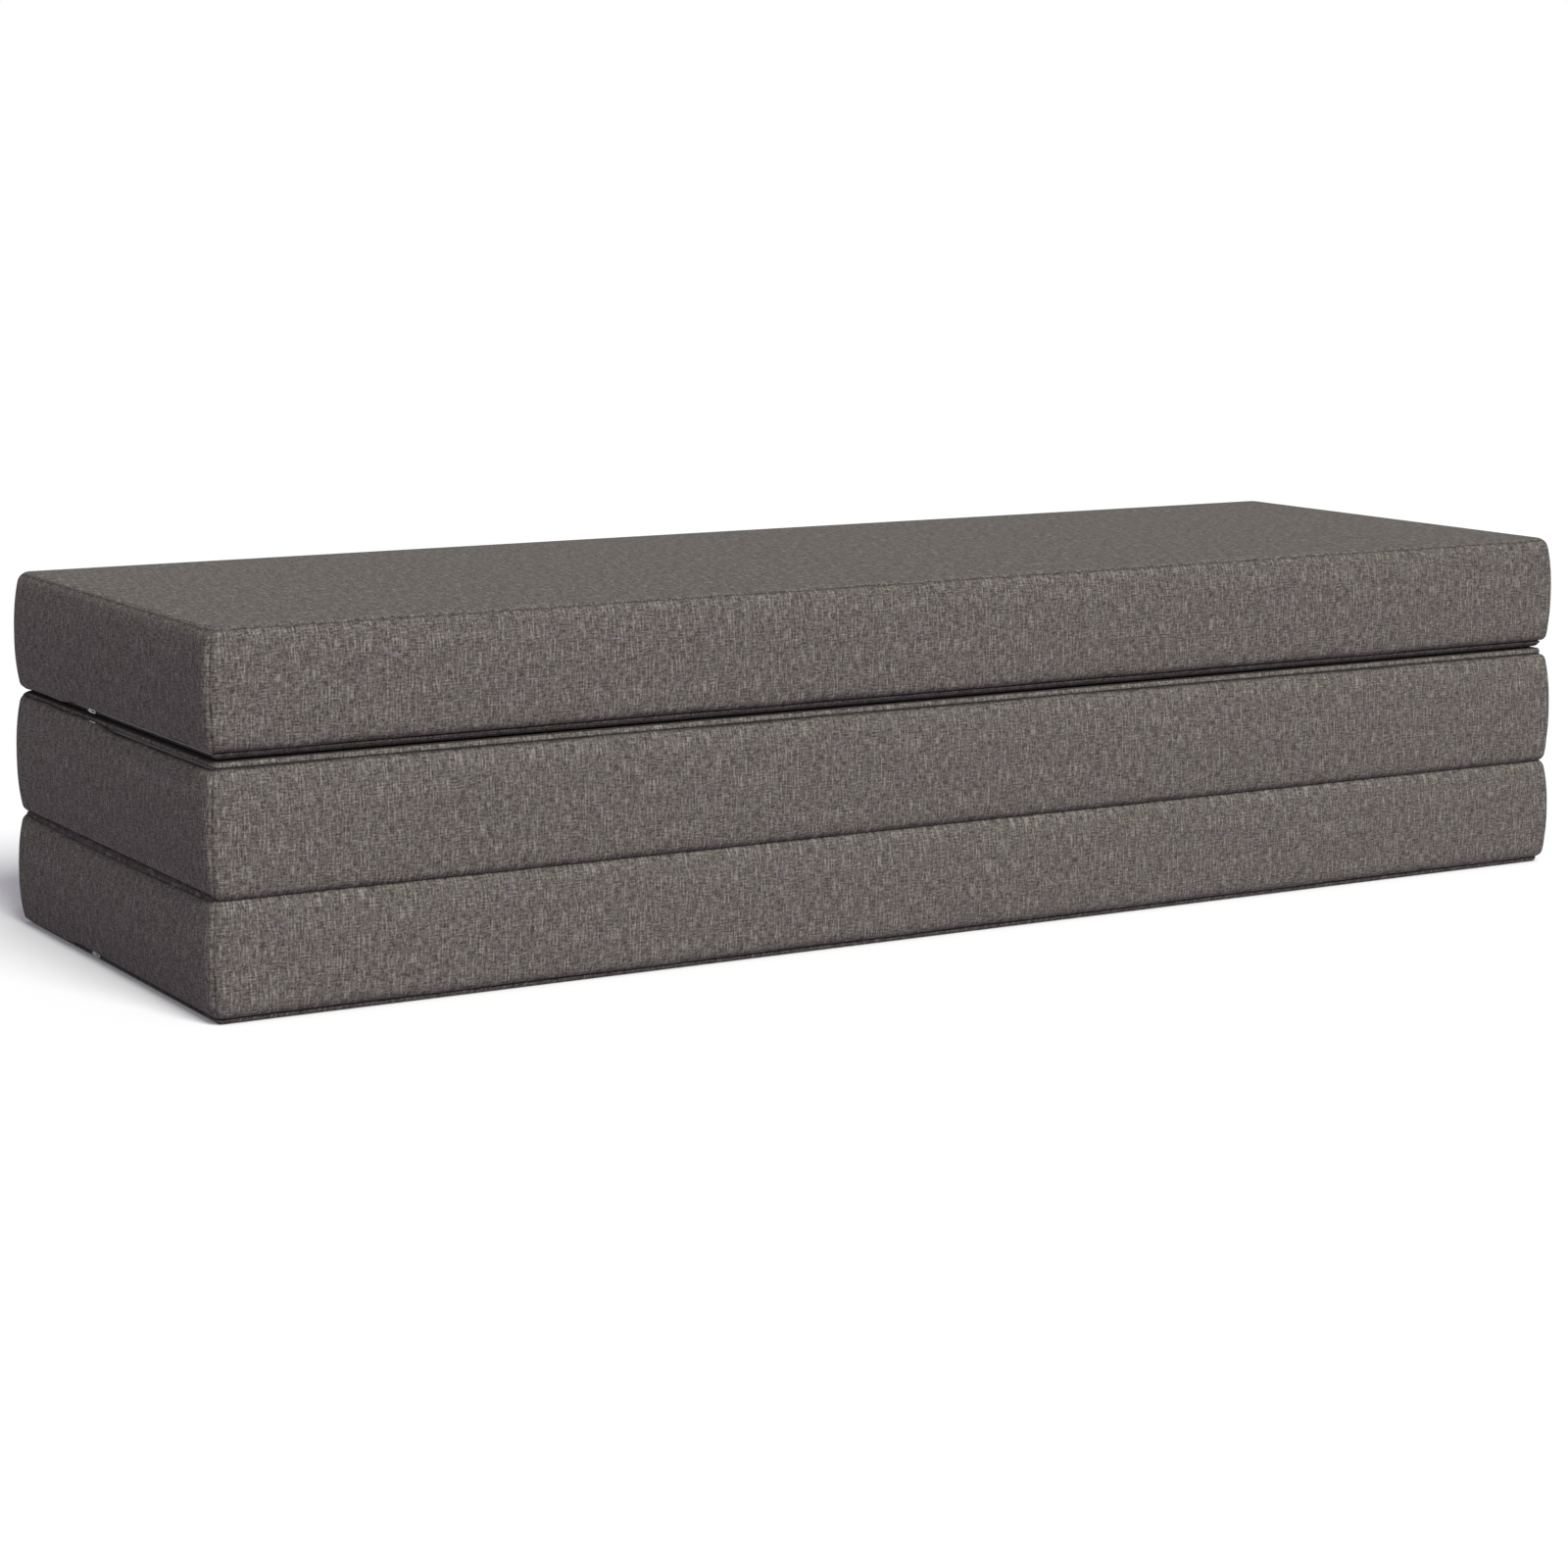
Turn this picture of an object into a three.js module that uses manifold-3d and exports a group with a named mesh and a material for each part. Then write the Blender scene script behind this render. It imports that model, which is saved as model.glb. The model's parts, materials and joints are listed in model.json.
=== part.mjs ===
// Folding sofa bed: three foam sections in zipped covers, sewn to each other in a Z and stacked.
// Sizes are millimetres. X runs along the sections, -Y is the front and +Z is up. The origin lies on
// the floor under the middle of the stack.
import * as THREE from 'three';
import { mergeVertices } from 'three/addons/utils/BufferGeometryUtils.js';
import Module from 'manifold-3d';

const wasm = await Module();
wasm.setup();

// One section, between its seam lines
const sectionLength = 1930;
const sectionDepth = 655;
const sectionThickness = 147;
const cornerRadius = 14;

// Foam inside a section
const supportFoamHeight = 104;
const foamEdgeChamfer = 8;

// Cover
const coverThickness = 1.5;
const wallBulge = 7.5;
const pressedEdgeRadius = 6;
const freeEdgeRadius = 9;
const sleepingSeamDrop = 4;
const hemLift = 0.3;

// The sleeping face on top of the stack is free, so it rises; the two that meet are pressed flat.
const freeFaceLift = 3;
const crownRise = 5;

// Underside edge: a border strip, then the zip, then the wall
const borderInset = 6.5;
const borderHeight = 6;
const zipTapeHeight = 3;
const zipTapeThickness = 0.8;
const zipCoilDepth = 0.7;
const zipCoilMargin = 0.5;
const zipEndFromMiddle = 90;

// Zip slider and pull
const sliderFromMiddle = 76;
const sliderLength = 8.5;
const sliderWidth = 4.2;
const sliderPlate = 1.4;
const sliderCornerCut = 1.2;
const bridgeLength = 6.6;
const bridgeWidth = 1.2;
const bridgeOpening = 4.4;
const bridgeRise = 1.8;
const bridgeBar = 1;
const pullLength = 22;
const pullWidth = 4;
const pullThickness = 1;
const pullEyeLength = 3.8;
const pullEyeWidth = 2;

// Sewn fold hinges
const foldRollRadius = 2.4;

// Gap between pieces that touch
const clearance = 0.3;

// Counts and shares that shape the curves
const cornerSteps = 4;
const rollSteps = 2;
const foldRollSides = 12;
const pullEndSteps = 4;
const bulgePower = 2.4;
const leastRadiusShare = 0.1;
const turnShares = [0, 0.12, 0.4, 1];
const lowerWallShares = [0.28, 0.62];
const upperWallShare = 0.55;
const crownShares = [0.05, 0.18, 0.42, 0.72];

const halfLength = sectionLength / 2;
const halfDepth = sectionDepth / 2;
const pitch = sectionThickness + clearance;
const skinGap = coverThickness + clearance;
const zipStart = borderHeight + clearance;
const zipWallStart = zipStart + zipTapeHeight + clearance;
const foamStart = coverThickness + clearance;
const seamTurn = clearance / 2 / (cornerRadius - coverThickness);
const quarterTurn = Math.PI / 2;
const eighthTurn = Math.PI / 4;

// How each section differs: which walls bulge freely, whether its sleeping face is free, how high it
// lies and whether it is turned over. Turned over, its left is its own right.
const sections = [
  { name: 'base', frontBulge: 0, backBulge: 1, free: false, turned: false, height: 0 },
  { name: 'middle', frontBulge: 0, backBulge: 0, free: false, turned: true, height: pitch + sectionThickness },
  { name: 'top', frontBulge: 1, backBulge: 0, free: true, turned: false, height: pitch + pitch },
];

const linen = new THREE.Color(0x6b6561);
const lining = new THREE.Color(0x4c4745);
const foamCream = new THREE.Color(0xe6dcc3);
const foamWhite = new THREE.Color(0xeceae4);
const zipGrey = new THREE.Color(0x2e2c2d);
const zinc = new THREE.Color(0xa8a9ab);

function finish(color, roughness, metalness) {
  return new THREE.MeshStandardMaterial({ color, roughness, metalness });
}

// A solid from loose triangles, with its faces turned outwards.
function solidFrom(corners) {
  const positions = [];
  let volume = 0;
  for (let i = 0; i < corners.length; i += 3) {
    const [a, b, c] = [corners[i], corners[i + 1], corners[i + 2]];
    volume += a.dot(b.clone().cross(c));
    positions.push(...a.toArray(), ...b.toArray(), ...c.toArray());
  }
  const geometry = new THREE.BufferGeometry();
  geometry.setAttribute('position', new THREE.Float32BufferAttribute(positions, 3));
  const merged = mergeVertices(geometry);
  if (volume < 0) {
    merged.index.array.reverse();
  }
  merged.computeVertexNormals();
  return merged;
}

// Quads between rows of points, where each row closes on itself. Each is split along its shorter
// diagonal, so that a skin and the foam behind it are split alike.
function joinRows(corners, rows) {
  for (let i = 0; i + 1 < rows.length; i += 1) {
    const [row, next] = [rows[i], rows[i + 1]];
    row.forEach((point, j) => {
      const k = (j + 1) % row.length;
      if (point.distanceTo(next[k]) < row[k].distanceTo(next[j])) {
        corners.push(point, row[k], next[k], point, next[k], next[j]);
      } else {
        corners.push(point, row[k], next[j], row[k], next[k], next[j]);
      }
    });
  }
}

// A cap from a ring to one point in its middle.
function capRing(corners, ring, centre, isFirst) {
  ring.forEach((point, j) => {
    const following = ring[(j + 1) % ring.length];
    if (isFirst) {
      corners.push(following, point, centre);
    } else {
      corners.push(point, following, centre);
    }
  });
}

// A cap over the end of a band, whose row runs up its outer side and down its inner side.
function capBand(corners, row, isFirst) {
  const last = row.length - 1;
  for (let i = 0; i + 1 < row.length / 2; i += 1) {
    const [outer, outerNext, inner, innerNext] = [row[i], row[i + 1], row[last - i], row[last - i - 1]];
    if (isFirst) {
      corners.push(outerNext, outer, inner, outerNext, inner, innerNext);
    } else {
      corners.push(outer, outerNext, inner, inner, outerNext, innerNext);
    }
  }
}

// Depth that a round edge has turned in, a given way from where it starts.
function turnIn(radius, distance) {
  if (distance >= radius) {
    return 0;
  }
  return radius - Math.sqrt(radius ** 2 - (radius - Math.max(distance, 0)) ** 2);
}

// The upper levels of a section: its rolled edge and the seam that the walls end at.
function upperEdge(section) {
  const radius = section.free ? freeEdgeRadius : pressedEdgeRadius;
  const rollTop = sectionThickness + (section.free ? freeFaceLift : 0);
  return { radius, rollTop, centre: rollTop - radius, seam: rollTop - sleepingSeamDrop };
}

// How far the cover's outer face stands out from the seam line at a height. A wall over the zip starts
// above it and turns out; a plain wall comes up from the underside.
function skinReach(section, height, bulges, overZip) {
  const edge = upperEdge(section);
  const start = overZip ? zipWallStart : hemLift;
  const turnRadius = overZip ? borderInset : pressedEdgeRadius;
  const share = THREE.MathUtils.clamp((height - start) / (edge.seam - start), 0, 1);
  const swell = wallBulge * bulges * (1 - Math.abs(share + share - 1) ** bulgePower);
  return swell - turnIn(turnRadius, height - start) - turnIn(edge.radius, edge.rollTop - height);
}

// The reach of each side at a height, less what lies under the skin.
function sideReach(section, height, under) {
  return {
    end: skinReach(section, height, 1, true) - under,
    front: skinReach(section, height, section.frontBulge, true) - under,
    back: skinReach(section, height, section.backBulge, false) - under,
  };
}

function evenReach(reach) {
  return { end: reach, front: reach, back: reach };
}

// Heights at which the walls and the foam behind them have their points.
function wallLevels(section) {
  const edge = upperEdge(section);
  const turned = zipWallStart + borderInset;
  const between = (low, high, share) => low + (high - low) * share;
  return [
    hemLift,
    foamStart,
    pressedEdgeRadius,
    ...turnShares.map((share) => zipWallStart + borderInset * share),
    ...lowerWallShares.map((share) => between(turned, supportFoamHeight, share)),
    supportFoamHeight,
    between(supportFoamHeight, edge.centre, upperWallShare),
    edge.centre,
    edge.seam,
  ];
}

// A spot on a section's outline, as a function from the sides' reach to x and y. The corners are
// rounded, and angle runs from the end of the section to its long side.
function cornerSpot(sideX, sideY, angle) {
  return (reach) => {
    const reachY = sideY < 0 ? reach.front : reach.back;
    const least = cornerRadius * leastRadiusShare;
    const radiusX = Math.max(cornerRadius + reach.end, least);
    const radiusY = Math.max(cornerRadius + reachY, least);
    const x = halfLength + reach.end - radiusX + radiusX * Math.cos(angle);
    const y = halfDepth + reachY - radiusY + radiusY * Math.sin(angle);
    return [sideX * x, sideY * y];
  };
}

function endSpot(sideX, y) {
  return (reach) => [sideX * (halfLength + reach.end), y];
}

function cornerArc(sideX, sideY, from, to) {
  const steps = Math.round(cornerSteps * Math.abs(to - from) / quarterTurn);
  const arc = [];
  for (let i = 0; i <= steps; i += 1) {
    arc.push(cornerSpot(sideX, sideY, THREE.MathUtils.lerp(from, to, i / steps)));
  }
  return arc;
}

const wholeOutline = [
  ...cornerArc(1, -1, quarterTurn, 0),
  ...cornerArc(1, 1, 0, quarterTurn),
  ...cornerArc(-1, 1, quarterTurn, 0),
  ...cornerArc(-1, -1, 0, quarterTurn),
];

// The corner seams lie halfway round the corners, with the gap between the two walls on them.
const endSeam = eighthTurn - seamTurn;
const longSeam = eighthTurn + seamTurn;

function endWallPath(sideX) {
  return [...cornerArc(sideX, 1, endSeam, 0), ...cornerArc(sideX, -1, 0, endSeam)];
}

function longWallPath(sideY) {
  return [...cornerArc(-1, sideY, longSeam, quarterTurn), ...cornerArc(1, sideY, quarterTurn, longSeam)];
}

// The way round the three sides that the zip runs on, from one back corner seam to the other.
const frontCorners = [...cornerArc(-1, -1, 0, quarterTurn), ...cornerArc(1, -1, quarterTurn, 0)];
const zipPath = [...cornerArc(-1, 1, endSeam, 0), ...frontCorners, ...cornerArc(1, 1, 0, endSeam)];

function ringAt(reach, height) {
  return wholeOutline.map((spot) => new THREE.Vector3(...spot(reach), height));
}

// A solid through rings, each a pair of the sides' reach and a height, capped at both ends.
function lidSolid(rings, firstHeight, lastHeight) {
  const rows = rings.map(([reach, height]) => ringAt(reach, height));
  const corners = [];
  joinRows(corners, rows);
  capRing(corners, rows[0], new THREE.Vector3(0, 0, firstHeight), true);
  capRing(corners, rows[rows.length - 1], new THREE.Vector3(0, 0, lastHeight), false);
  return solidFrom(corners);
}

// A strip along a path. Each point of its section is a pair of a reach and a height.
function stripSolid(path, outerAt, innerAt) {
  const rows = path.map((spot, i) => {
    const outer = outerAt(i).map(([reach, height]) => new THREE.Vector3(...spot(reach), height));
    const inner = innerAt(i).map(([reach, height]) => new THREE.Vector3(...spot(reach), height));
    return [...outer, ...inner.reverse()];
  });
  const corners = [];
  for (let i = 0; i + 1 < rows.length; i += 1) {
    joinRows(corners, [rows[i], rows[i + 1]]);
  }
  capBand(corners, rows[0], true);
  capBand(corners, rows[rows.length - 1], false);
  return solidFrom(corners);
}

// Rings over the rolled edge and up the crown, a given depth under the cover's outer face.
function faceRings(section, under, fromHeight) {
  const edge = upperEdge(section);
  const radius = edge.radius - under;
  const first = Math.asin((fromHeight - edge.centre) / radius);
  const rings = [];
  for (let i = 0; i <= rollSteps; i += 1) {
    const angle = THREE.MathUtils.lerp(first, quarterTurn, i / rollSteps);
    const reach = radius * Math.cos(angle) - edge.radius;
    rings.push([evenReach(reach), edge.centre + radius * Math.sin(angle)]);
  }
  if (section.free) {
    for (const share of crownShares) {
      const reach = -edge.radius - (halfDepth - edge.radius) * share;
      rings.push([evenReach(reach), edge.rollTop - under + crownRise * (1 - (1 - share) ** 2)]);
    }
  }
  return rings;
}

function faceHeight(section, under) {
  return upperEdge(section).rollTop - under + (section.free ? crownRise : 0);
}

function supportFoam(section) {
  const levels = wallLevels(section).filter((level) => level >= foamStart && level <= supportFoamHeight);
  const chamfered = (level) => {
    const cut = foamEdgeChamfer * Math.max(0, 1 - (level - foamStart) / (zipWallStart - foamStart));
    return sideReach(section, level, skinGap + cut);
  };
  return lidSolid(levels.map((level) => [chamfered(level), level]), foamStart, supportFoamHeight);
}

function comfortFoam(section) {
  const start = supportFoamHeight + clearance;
  const edge = upperEdge(section);
  const levels = wallLevels(section).filter((level) => level > start && level <= edge.centre);
  const sides = [start, ...levels].map((level) => [sideReach(section, level, skinGap), level]);
  const face = faceRings(section, skinGap, edge.seam);
  return lidSolid([...sides, ...face], start, faceHeight(section, skinGap));
}

function sleepingPanel(section) {
  const start = upperEdge(section).seam + clearance;
  const outer = faceRings(section, 0, start);
  const inner = faceRings(section, coverThickness, start);
  const rings = [...outer.reverse(), ...inner];
  return lidSolid(rings, faceHeight(section, 0), faceHeight(section, coverThickness));
}

function underPanel() {
  const reach = evenReach(-borderInset - skinGap);
  return lidSolid([[reach, 0], [reach, coverThickness]], 0, coverThickness);
}

// A wall's cover fabric. The walls over the zip start above it, the back wall starts at the underside.
function wall(section, path, start) {
  const levels = wallLevels(section).filter((level) => level >= start);
  const outer = levels.map((level) => [sideReach(section, level, 0), level]);
  const inner = levels.map((level) => [sideReach(section, level, coverThickness), level]);
  return stripSolid(path, () => outer, () => inner);
}

// The border strip and the zip lie inside the seam line, and run out to the back wall at the back corners.
function borderStrip(section) {
  const levels = wallLevels(section).filter((level) => level < borderHeight);
  levels.push(borderHeight);
  const outer = levels.map((level) => [sideReach(section, level, 0), level]);
  const inner = levels.map((level) => [sideReach(section, level, coverThickness), level]);
  return stripSolid(zipPath, () => outer, () => inner);
}

// The zip: tape all the way, with the coil standing on it from a little behind the middle forwards.
function zipChain(section) {
  const tapeOnly = [zipCoilDepth, zipCoilDepth, zipCoilDepth, zipCoilDepth];
  const coiled = [zipCoilDepth, 0, 0, zipCoilDepth];
  const end = zipStart + zipTapeHeight;
  const heights = [zipStart, zipStart + zipCoilMargin, end - zipCoilMargin, end];
  const coilEnds = (sideX) => [
    { spot: endSpot(sideX, zipEndFromMiddle + zipCoilMargin), depths: tapeOnly },
    { spot: endSpot(sideX, zipEndFromMiddle), depths: coiled },
  ];
  const along = [
    ...cornerArc(-1, 1, endSeam, 0).map((spot) => ({ spot, depths: tapeOnly })),
    ...coilEnds(-1),
    ...frontCorners.map((spot) => ({ spot, depths: coiled })),
    ...coilEnds(1).reverse(),
    ...cornerArc(1, 1, 0, endSeam).map((spot) => ({ spot, depths: tapeOnly })),
  ];
  const innerDepth = zipCoilDepth + zipTapeThickness;
  return stripSolid(
    along.map(({ spot }) => spot),
    (i) => along[i].depths.map((depth, j) => [sideReach(section, heights[j], depth), heights[j]]),
    () => heights.map((height) => [sideReach(section, height, innerDepth), height]),
  );
}

function toManifold(geometry) {
  const bare = geometry.clone();
  bare.deleteAttribute('normal');
  bare.deleteAttribute('uv');
  const merged = mergeVertices(bare);
  return new wasm.Manifold(new wasm.Mesh({
    numProp: 3,
    vertProperties: merged.attributes.position.array,
    triVerts: new Uint32Array(merged.index.array),
  }));
}

function toGeometry(manifold) {
  const mesh = manifold.getMesh();
  const geometry = new THREE.BufferGeometry();
  geometry.setAttribute('position', new THREE.BufferAttribute(mesh.vertProperties, 3));
  geometry.setIndex(new THREE.BufferAttribute(mesh.triVerts, 1));
  geometry.computeVertexNormals();
  return geometry;
}

function plateOf(points, holes, depth) {
  const shape = new THREE.Shape(points.map((point) => new THREE.Vector2(...point)));
  shape.holes = holes.map((hole) => new THREE.Path(hole.map((point) => new THREE.Vector2(...point))));
  return new THREE.ExtrudeGeometry(shape, { depth, bevelEnabled: false });
}

function rectangle(left, right, low, high) {
  return [[left, low], [right, low], [right, high], [left, high]];
}

// The slider lies with its length along x, its width along y and its bridge rising in z.
function zipSlider() {
  const [x, y, cut] = [sliderLength / 2, sliderWidth / 2, sliderCornerCut];
  const right = [[x - cut, -y], [x, cut - y], [x, y - cut], [x - cut, y]];
  const outline = [...right, ...right.map(([px, py]) => [-px, -py])];
  const plate = toManifold(plateOf(outline, [], sliderPlate));
  const top = sliderPlate + bridgeRise;
  const arch = plateOf(
    rectangle(-bridgeLength / 2, bridgeLength / 2, sliderPlate / 2, top + bridgeBar),
    [rectangle(-bridgeOpening / 2, bridgeOpening / 2, sliderPlate, top)],
    bridgeWidth,
  );
  arch.translate(0, 0, -bridgeWidth / 2);
  arch.rotateX(quarterTurn);
  return toGeometry(plate.add(toManifold(arch)));
}

// The pull hangs on a bar through the bridge: its origin is the middle of that bar.
function zipPull() {
  const bar = pullThickness / 2;
  const y = pullWidth / 2;
  const tip = pullLength - y;
  const outline = [[-bar, -y]];
  for (let i = 0; i <= pullEndSteps; i += 1) {
    const angle = THREE.MathUtils.lerp(-quarterTurn, quarterTurn, i / pullEndSteps);
    outline.push([tip + y * Math.cos(angle), y * Math.sin(angle)]);
  }
  outline.push([-bar, y]);
  const eye = rectangle(bar, bar + pullEyeLength, -pullEyeWidth / 2, pullEyeWidth / 2);
  const pull = plateOf(outline, [eye], pullThickness);
  pull.translate(0, 0, -pullThickness / 2);
  return pull;
}

const stack = new THREE.Group();

function addMesh(parent, name, geometry, material) {
  const mesh = new THREE.Mesh(geometry, material);
  mesh.name = name;
  parent.add(mesh);
  return mesh;
}

// The slider stands on the coil with its top edge just under the wall, and its pull lies forwards.
function addZipRunner(group, section) {
  const side = section.turned ? -1 : 1;
  const runner = new THREE.Group();
  const along = new THREE.Vector3(0, -1, 0);
  const across = new THREE.Vector3(0, 0, side);
  const outwards = new THREE.Vector3(-side, 0, 0);
  runner.quaternion.setFromRotationMatrix(new THREE.Matrix4().makeBasis(along, across, outwards));
  const foot = halfLength - borderInset + clearance;
  const height = zipWallStart - clearance - sliderWidth / 2;
  runner.position.set(-side * foot, sliderFromMiddle, height);
  group.add(runner);
  addMesh(runner, `${section.name}_zip_slider`, zipSlider(), finish(zinc, 0.35, 1));
  const pull = addMesh(runner, `${section.name}_zip_pull`, zipPull(), finish(zinc, 0.35, 1));
  pull.position.z = sliderPlate + bridgeRise / 2;
}

function addSection(section) {
  const group = new THREE.Group();
  group.position.z = section.height;
  group.rotation.y = section.turned ? Math.PI : 0;
  stack.add(group);
  const left = section.turned ? 1 : -1;
  const named = (piece) => `${section.name}_${piece}`;
  addMesh(group, named('support_foam'), supportFoam(section), finish(foamCream, 0.95, 0));
  addMesh(group, named('comfort_foam'), comfortFoam(section), finish(foamWhite, 0.95, 0));
  addMesh(group, named('sleeping_panel'), sleepingPanel(section), finish(linen, 0.95, 0));
  addMesh(group, named('under_panel'), underPanel(), finish(lining, 0.95, 0));
  addMesh(group, named('left_wall'), wall(section, endWallPath(left), zipWallStart), finish(linen, 0.95, 0));
  addMesh(group, named('right_wall'), wall(section, endWallPath(-left), zipWallStart), finish(linen, 0.95, 0));
  addMesh(group, named('front_wall'), wall(section, longWallPath(-1), zipWallStart), finish(linen, 0.95, 0));
  addMesh(group, named('back_wall'), wall(section, longWallPath(1), hemLift), finish(linen, 0.95, 0));
  addMesh(group, named('border_strip'), borderStrip(section), finish(linen, 0.95, 0));
  addMesh(group, named('zip_chain'), zipChain(section), finish(zipGrey, 0.6, 0));
  addZipRunner(group, section);
}

// A sewn roll along the line that two sections turn about.
function addFoldHinge(name, sideY, height) {
  const length = sectionLength - cornerRadius * 2;
  const roll = new THREE.CylinderGeometry(foldRollRadius, foldRollRadius, length, foldRollSides);
  const mesh = addMesh(stack, name, roll, finish(linen, 0.95, 0));
  mesh.rotation.z = quarterTurn;
  mesh.position.set(0, sideY * (halfDepth + clearance), height);
}

sections.forEach(addSection);
addFoldHinge('front_fold_hinge', -1, sectionThickness + clearance / 2);
addFoldHinge('rear_fold_hinge', 1, sectionThickness + pitch + clearance / 2);

export default stack;
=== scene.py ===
"""Folding sofa bed: three foam sections in zipped linen-look covers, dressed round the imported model.

Sizes are metres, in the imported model's frame: X runs along the sections, -Y is the front and +Z is up.
"""

import json
import logging
import math
from dataclasses import dataclass, field
from enum import Enum

import bmesh
import bpy
import numpy as np
from mathutils import Matrix, Vector

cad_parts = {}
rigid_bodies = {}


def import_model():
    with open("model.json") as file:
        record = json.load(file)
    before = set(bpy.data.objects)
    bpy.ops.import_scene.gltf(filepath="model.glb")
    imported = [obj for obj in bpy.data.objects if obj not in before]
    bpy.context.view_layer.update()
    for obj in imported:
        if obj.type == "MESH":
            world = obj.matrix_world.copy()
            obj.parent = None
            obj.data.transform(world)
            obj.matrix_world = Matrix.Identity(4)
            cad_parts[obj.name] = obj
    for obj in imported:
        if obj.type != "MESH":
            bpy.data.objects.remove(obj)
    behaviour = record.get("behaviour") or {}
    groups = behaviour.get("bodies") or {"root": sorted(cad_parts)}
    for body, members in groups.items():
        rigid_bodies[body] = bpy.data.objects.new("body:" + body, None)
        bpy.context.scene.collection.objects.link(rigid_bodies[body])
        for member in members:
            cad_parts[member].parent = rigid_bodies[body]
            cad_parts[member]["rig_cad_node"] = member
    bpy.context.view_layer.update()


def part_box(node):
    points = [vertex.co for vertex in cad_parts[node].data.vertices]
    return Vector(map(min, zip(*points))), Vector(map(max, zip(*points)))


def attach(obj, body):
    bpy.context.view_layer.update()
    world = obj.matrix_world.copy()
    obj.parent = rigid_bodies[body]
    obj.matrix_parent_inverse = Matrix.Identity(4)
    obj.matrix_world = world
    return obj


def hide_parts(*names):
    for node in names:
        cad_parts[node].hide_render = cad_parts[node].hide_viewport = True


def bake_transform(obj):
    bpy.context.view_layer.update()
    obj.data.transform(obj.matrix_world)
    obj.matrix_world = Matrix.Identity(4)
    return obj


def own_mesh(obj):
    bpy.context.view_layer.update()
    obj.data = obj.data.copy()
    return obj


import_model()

MM = 0.001
TINY = 1e-6
QUARTER_TURN = math.pi / 2
FULL_TURN = 2 * math.pi
CLOTH_UV = "cloth"
# The point attribute that holds how much shade is painted into the cloth at its seams, from 0 to 1.
PAINTED_SEAM_SHADE = "painted_seam_shade"
# A colour mix node's sockets, by number: the factor and both colours in, and the result out.
MIX_FACTOR, MIX_A, MIX_B, MIX_RESULT = 0, 6, 7, 2
# The parts of an uneven wave: share of its height, pitch, and shifts with the phase and without it.
WAVE_PARTS = ((0.5, 1.0, 1.7, 0.0), (0.3, 1.618, 2.9, 1.0), (0.2, 0.427, 4.3, 2.0))

log = logging.getLogger("sofa_bed")


class Side(Enum):
    """A long side of a section, by the sign of its y."""

    FRONT = -1
    BACK = 1


class Slot(Enum):
    """The record's material slots."""

    COVER = "cover_fabric"
    UNDER = "under_fabric"
    SUPPORT = "support_foam"
    COMFORT = "comfort_foam"
    NYLON = "zip_nylon"
    METAL = "zip_metal"


def linear(colour: str) -> tuple[float, float, float, float]:
    """Turns an sRGB hex colour to linear light.

    Args:
        colour: Six hex digits after a hash.

    Returns:
        Red, green, blue and an alpha of one.
    """
    parts = [int(colour[i:i + 2], 16) / 255 for i in (1, 3, 5)]
    red, green, blue = (c / 12.92 if c <= 0.04045 else ((c + 0.055) / 1.055) ** 2.4 for c in parts)
    return red, green, blue, 1.0


def add_node(tree: bpy.types.NodeTree, kind: str, inputs: dict | None = None, **settings) -> bpy.types.Node:
    """Adds a node with its settings, values and links.

    Args:
        tree: The node tree that it goes into.
        kind: The node's type name.
        inputs: Values or output sockets by the input's name or number.
        **settings: The node's own properties.

    Returns:
        The new node.
    """
    node = tree.nodes.new(kind)
    for name, value in settings.items():
        setattr(node, name, value)
    for key, source in (inputs or {}).items():
        if isinstance(source, bpy.types.NodeSocket):
            tree.links.new(source, node.inputs[key])
        else:
            node.inputs[key].default_value = source
    return node


def new_material(name: str) -> tuple[bpy.types.Material, bpy.types.NodeTree]:
    """Makes an empty node material.

    Args:
        name: The real material's name.

    Returns:
        The material and its node tree.
    """
    material = bpy.data.materials.new(name)
    material.use_nodes = True
    material.node_tree.nodes.clear()
    return material, material.node_tree


def smooth_step(share: np.ndarray | float) -> np.ndarray | float:
    """Eases a share from 0 to 1 with a level start and end."""
    clipped = np.clip(share, 0, 1)
    return clipped * clipped * (3 - 2 * clipped)


def between(first: np.ndarray | float, last: np.ndarray | float, share: np.ndarray) -> np.ndarray:
    """Goes from a first value to a last one, with the share."""
    return first + (last - first) * share


def turn_in(radius: float, distance: np.ndarray) -> np.ndarray:
    """Gives how far a round edge has turned in, at a distance from where it is level.

    Args:
        radius: The edge's radius.
        distance: The distance from the level end of its arc.

    Returns:
        The depth below the straight face.
    """
    rest = np.clip(radius - distance, 0, radius)
    return radius - np.sqrt(radius ** 2 - rest ** 2)


def bell(distance: np.ndarray, width: float) -> np.ndarray:
    """Gives 1 at no distance, and almost nothing at twice the width."""
    return np.exp(-((distance / width) ** 2))


def add_object(name: str, data: bpy.types.ID) -> bpy.types.Object:
    """Puts a mesh, lamp or camera into the scene, at the origin.

    Args:
        name: The object's name.
        data: The mesh, lamp or camera.

    Returns:
        The object.
    """
    made = bpy.data.objects.new(name, data)
    bpy.context.scene.collection.objects.link(made)
    return made


def add_piece(name: str, bm: bmesh.types.BMesh) -> bpy.types.Object:
    """Turns what was shaped into a mesh object, at the origin.

    Args:
        name: The name of the object and its mesh.
        bm: What was shaped, which is freed.

    Returns:
        The object.
    """
    mesh = bpy.data.meshes.new(name)
    bm.to_mesh(mesh)
    bm.free()
    return add_object(name, mesh)


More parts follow.
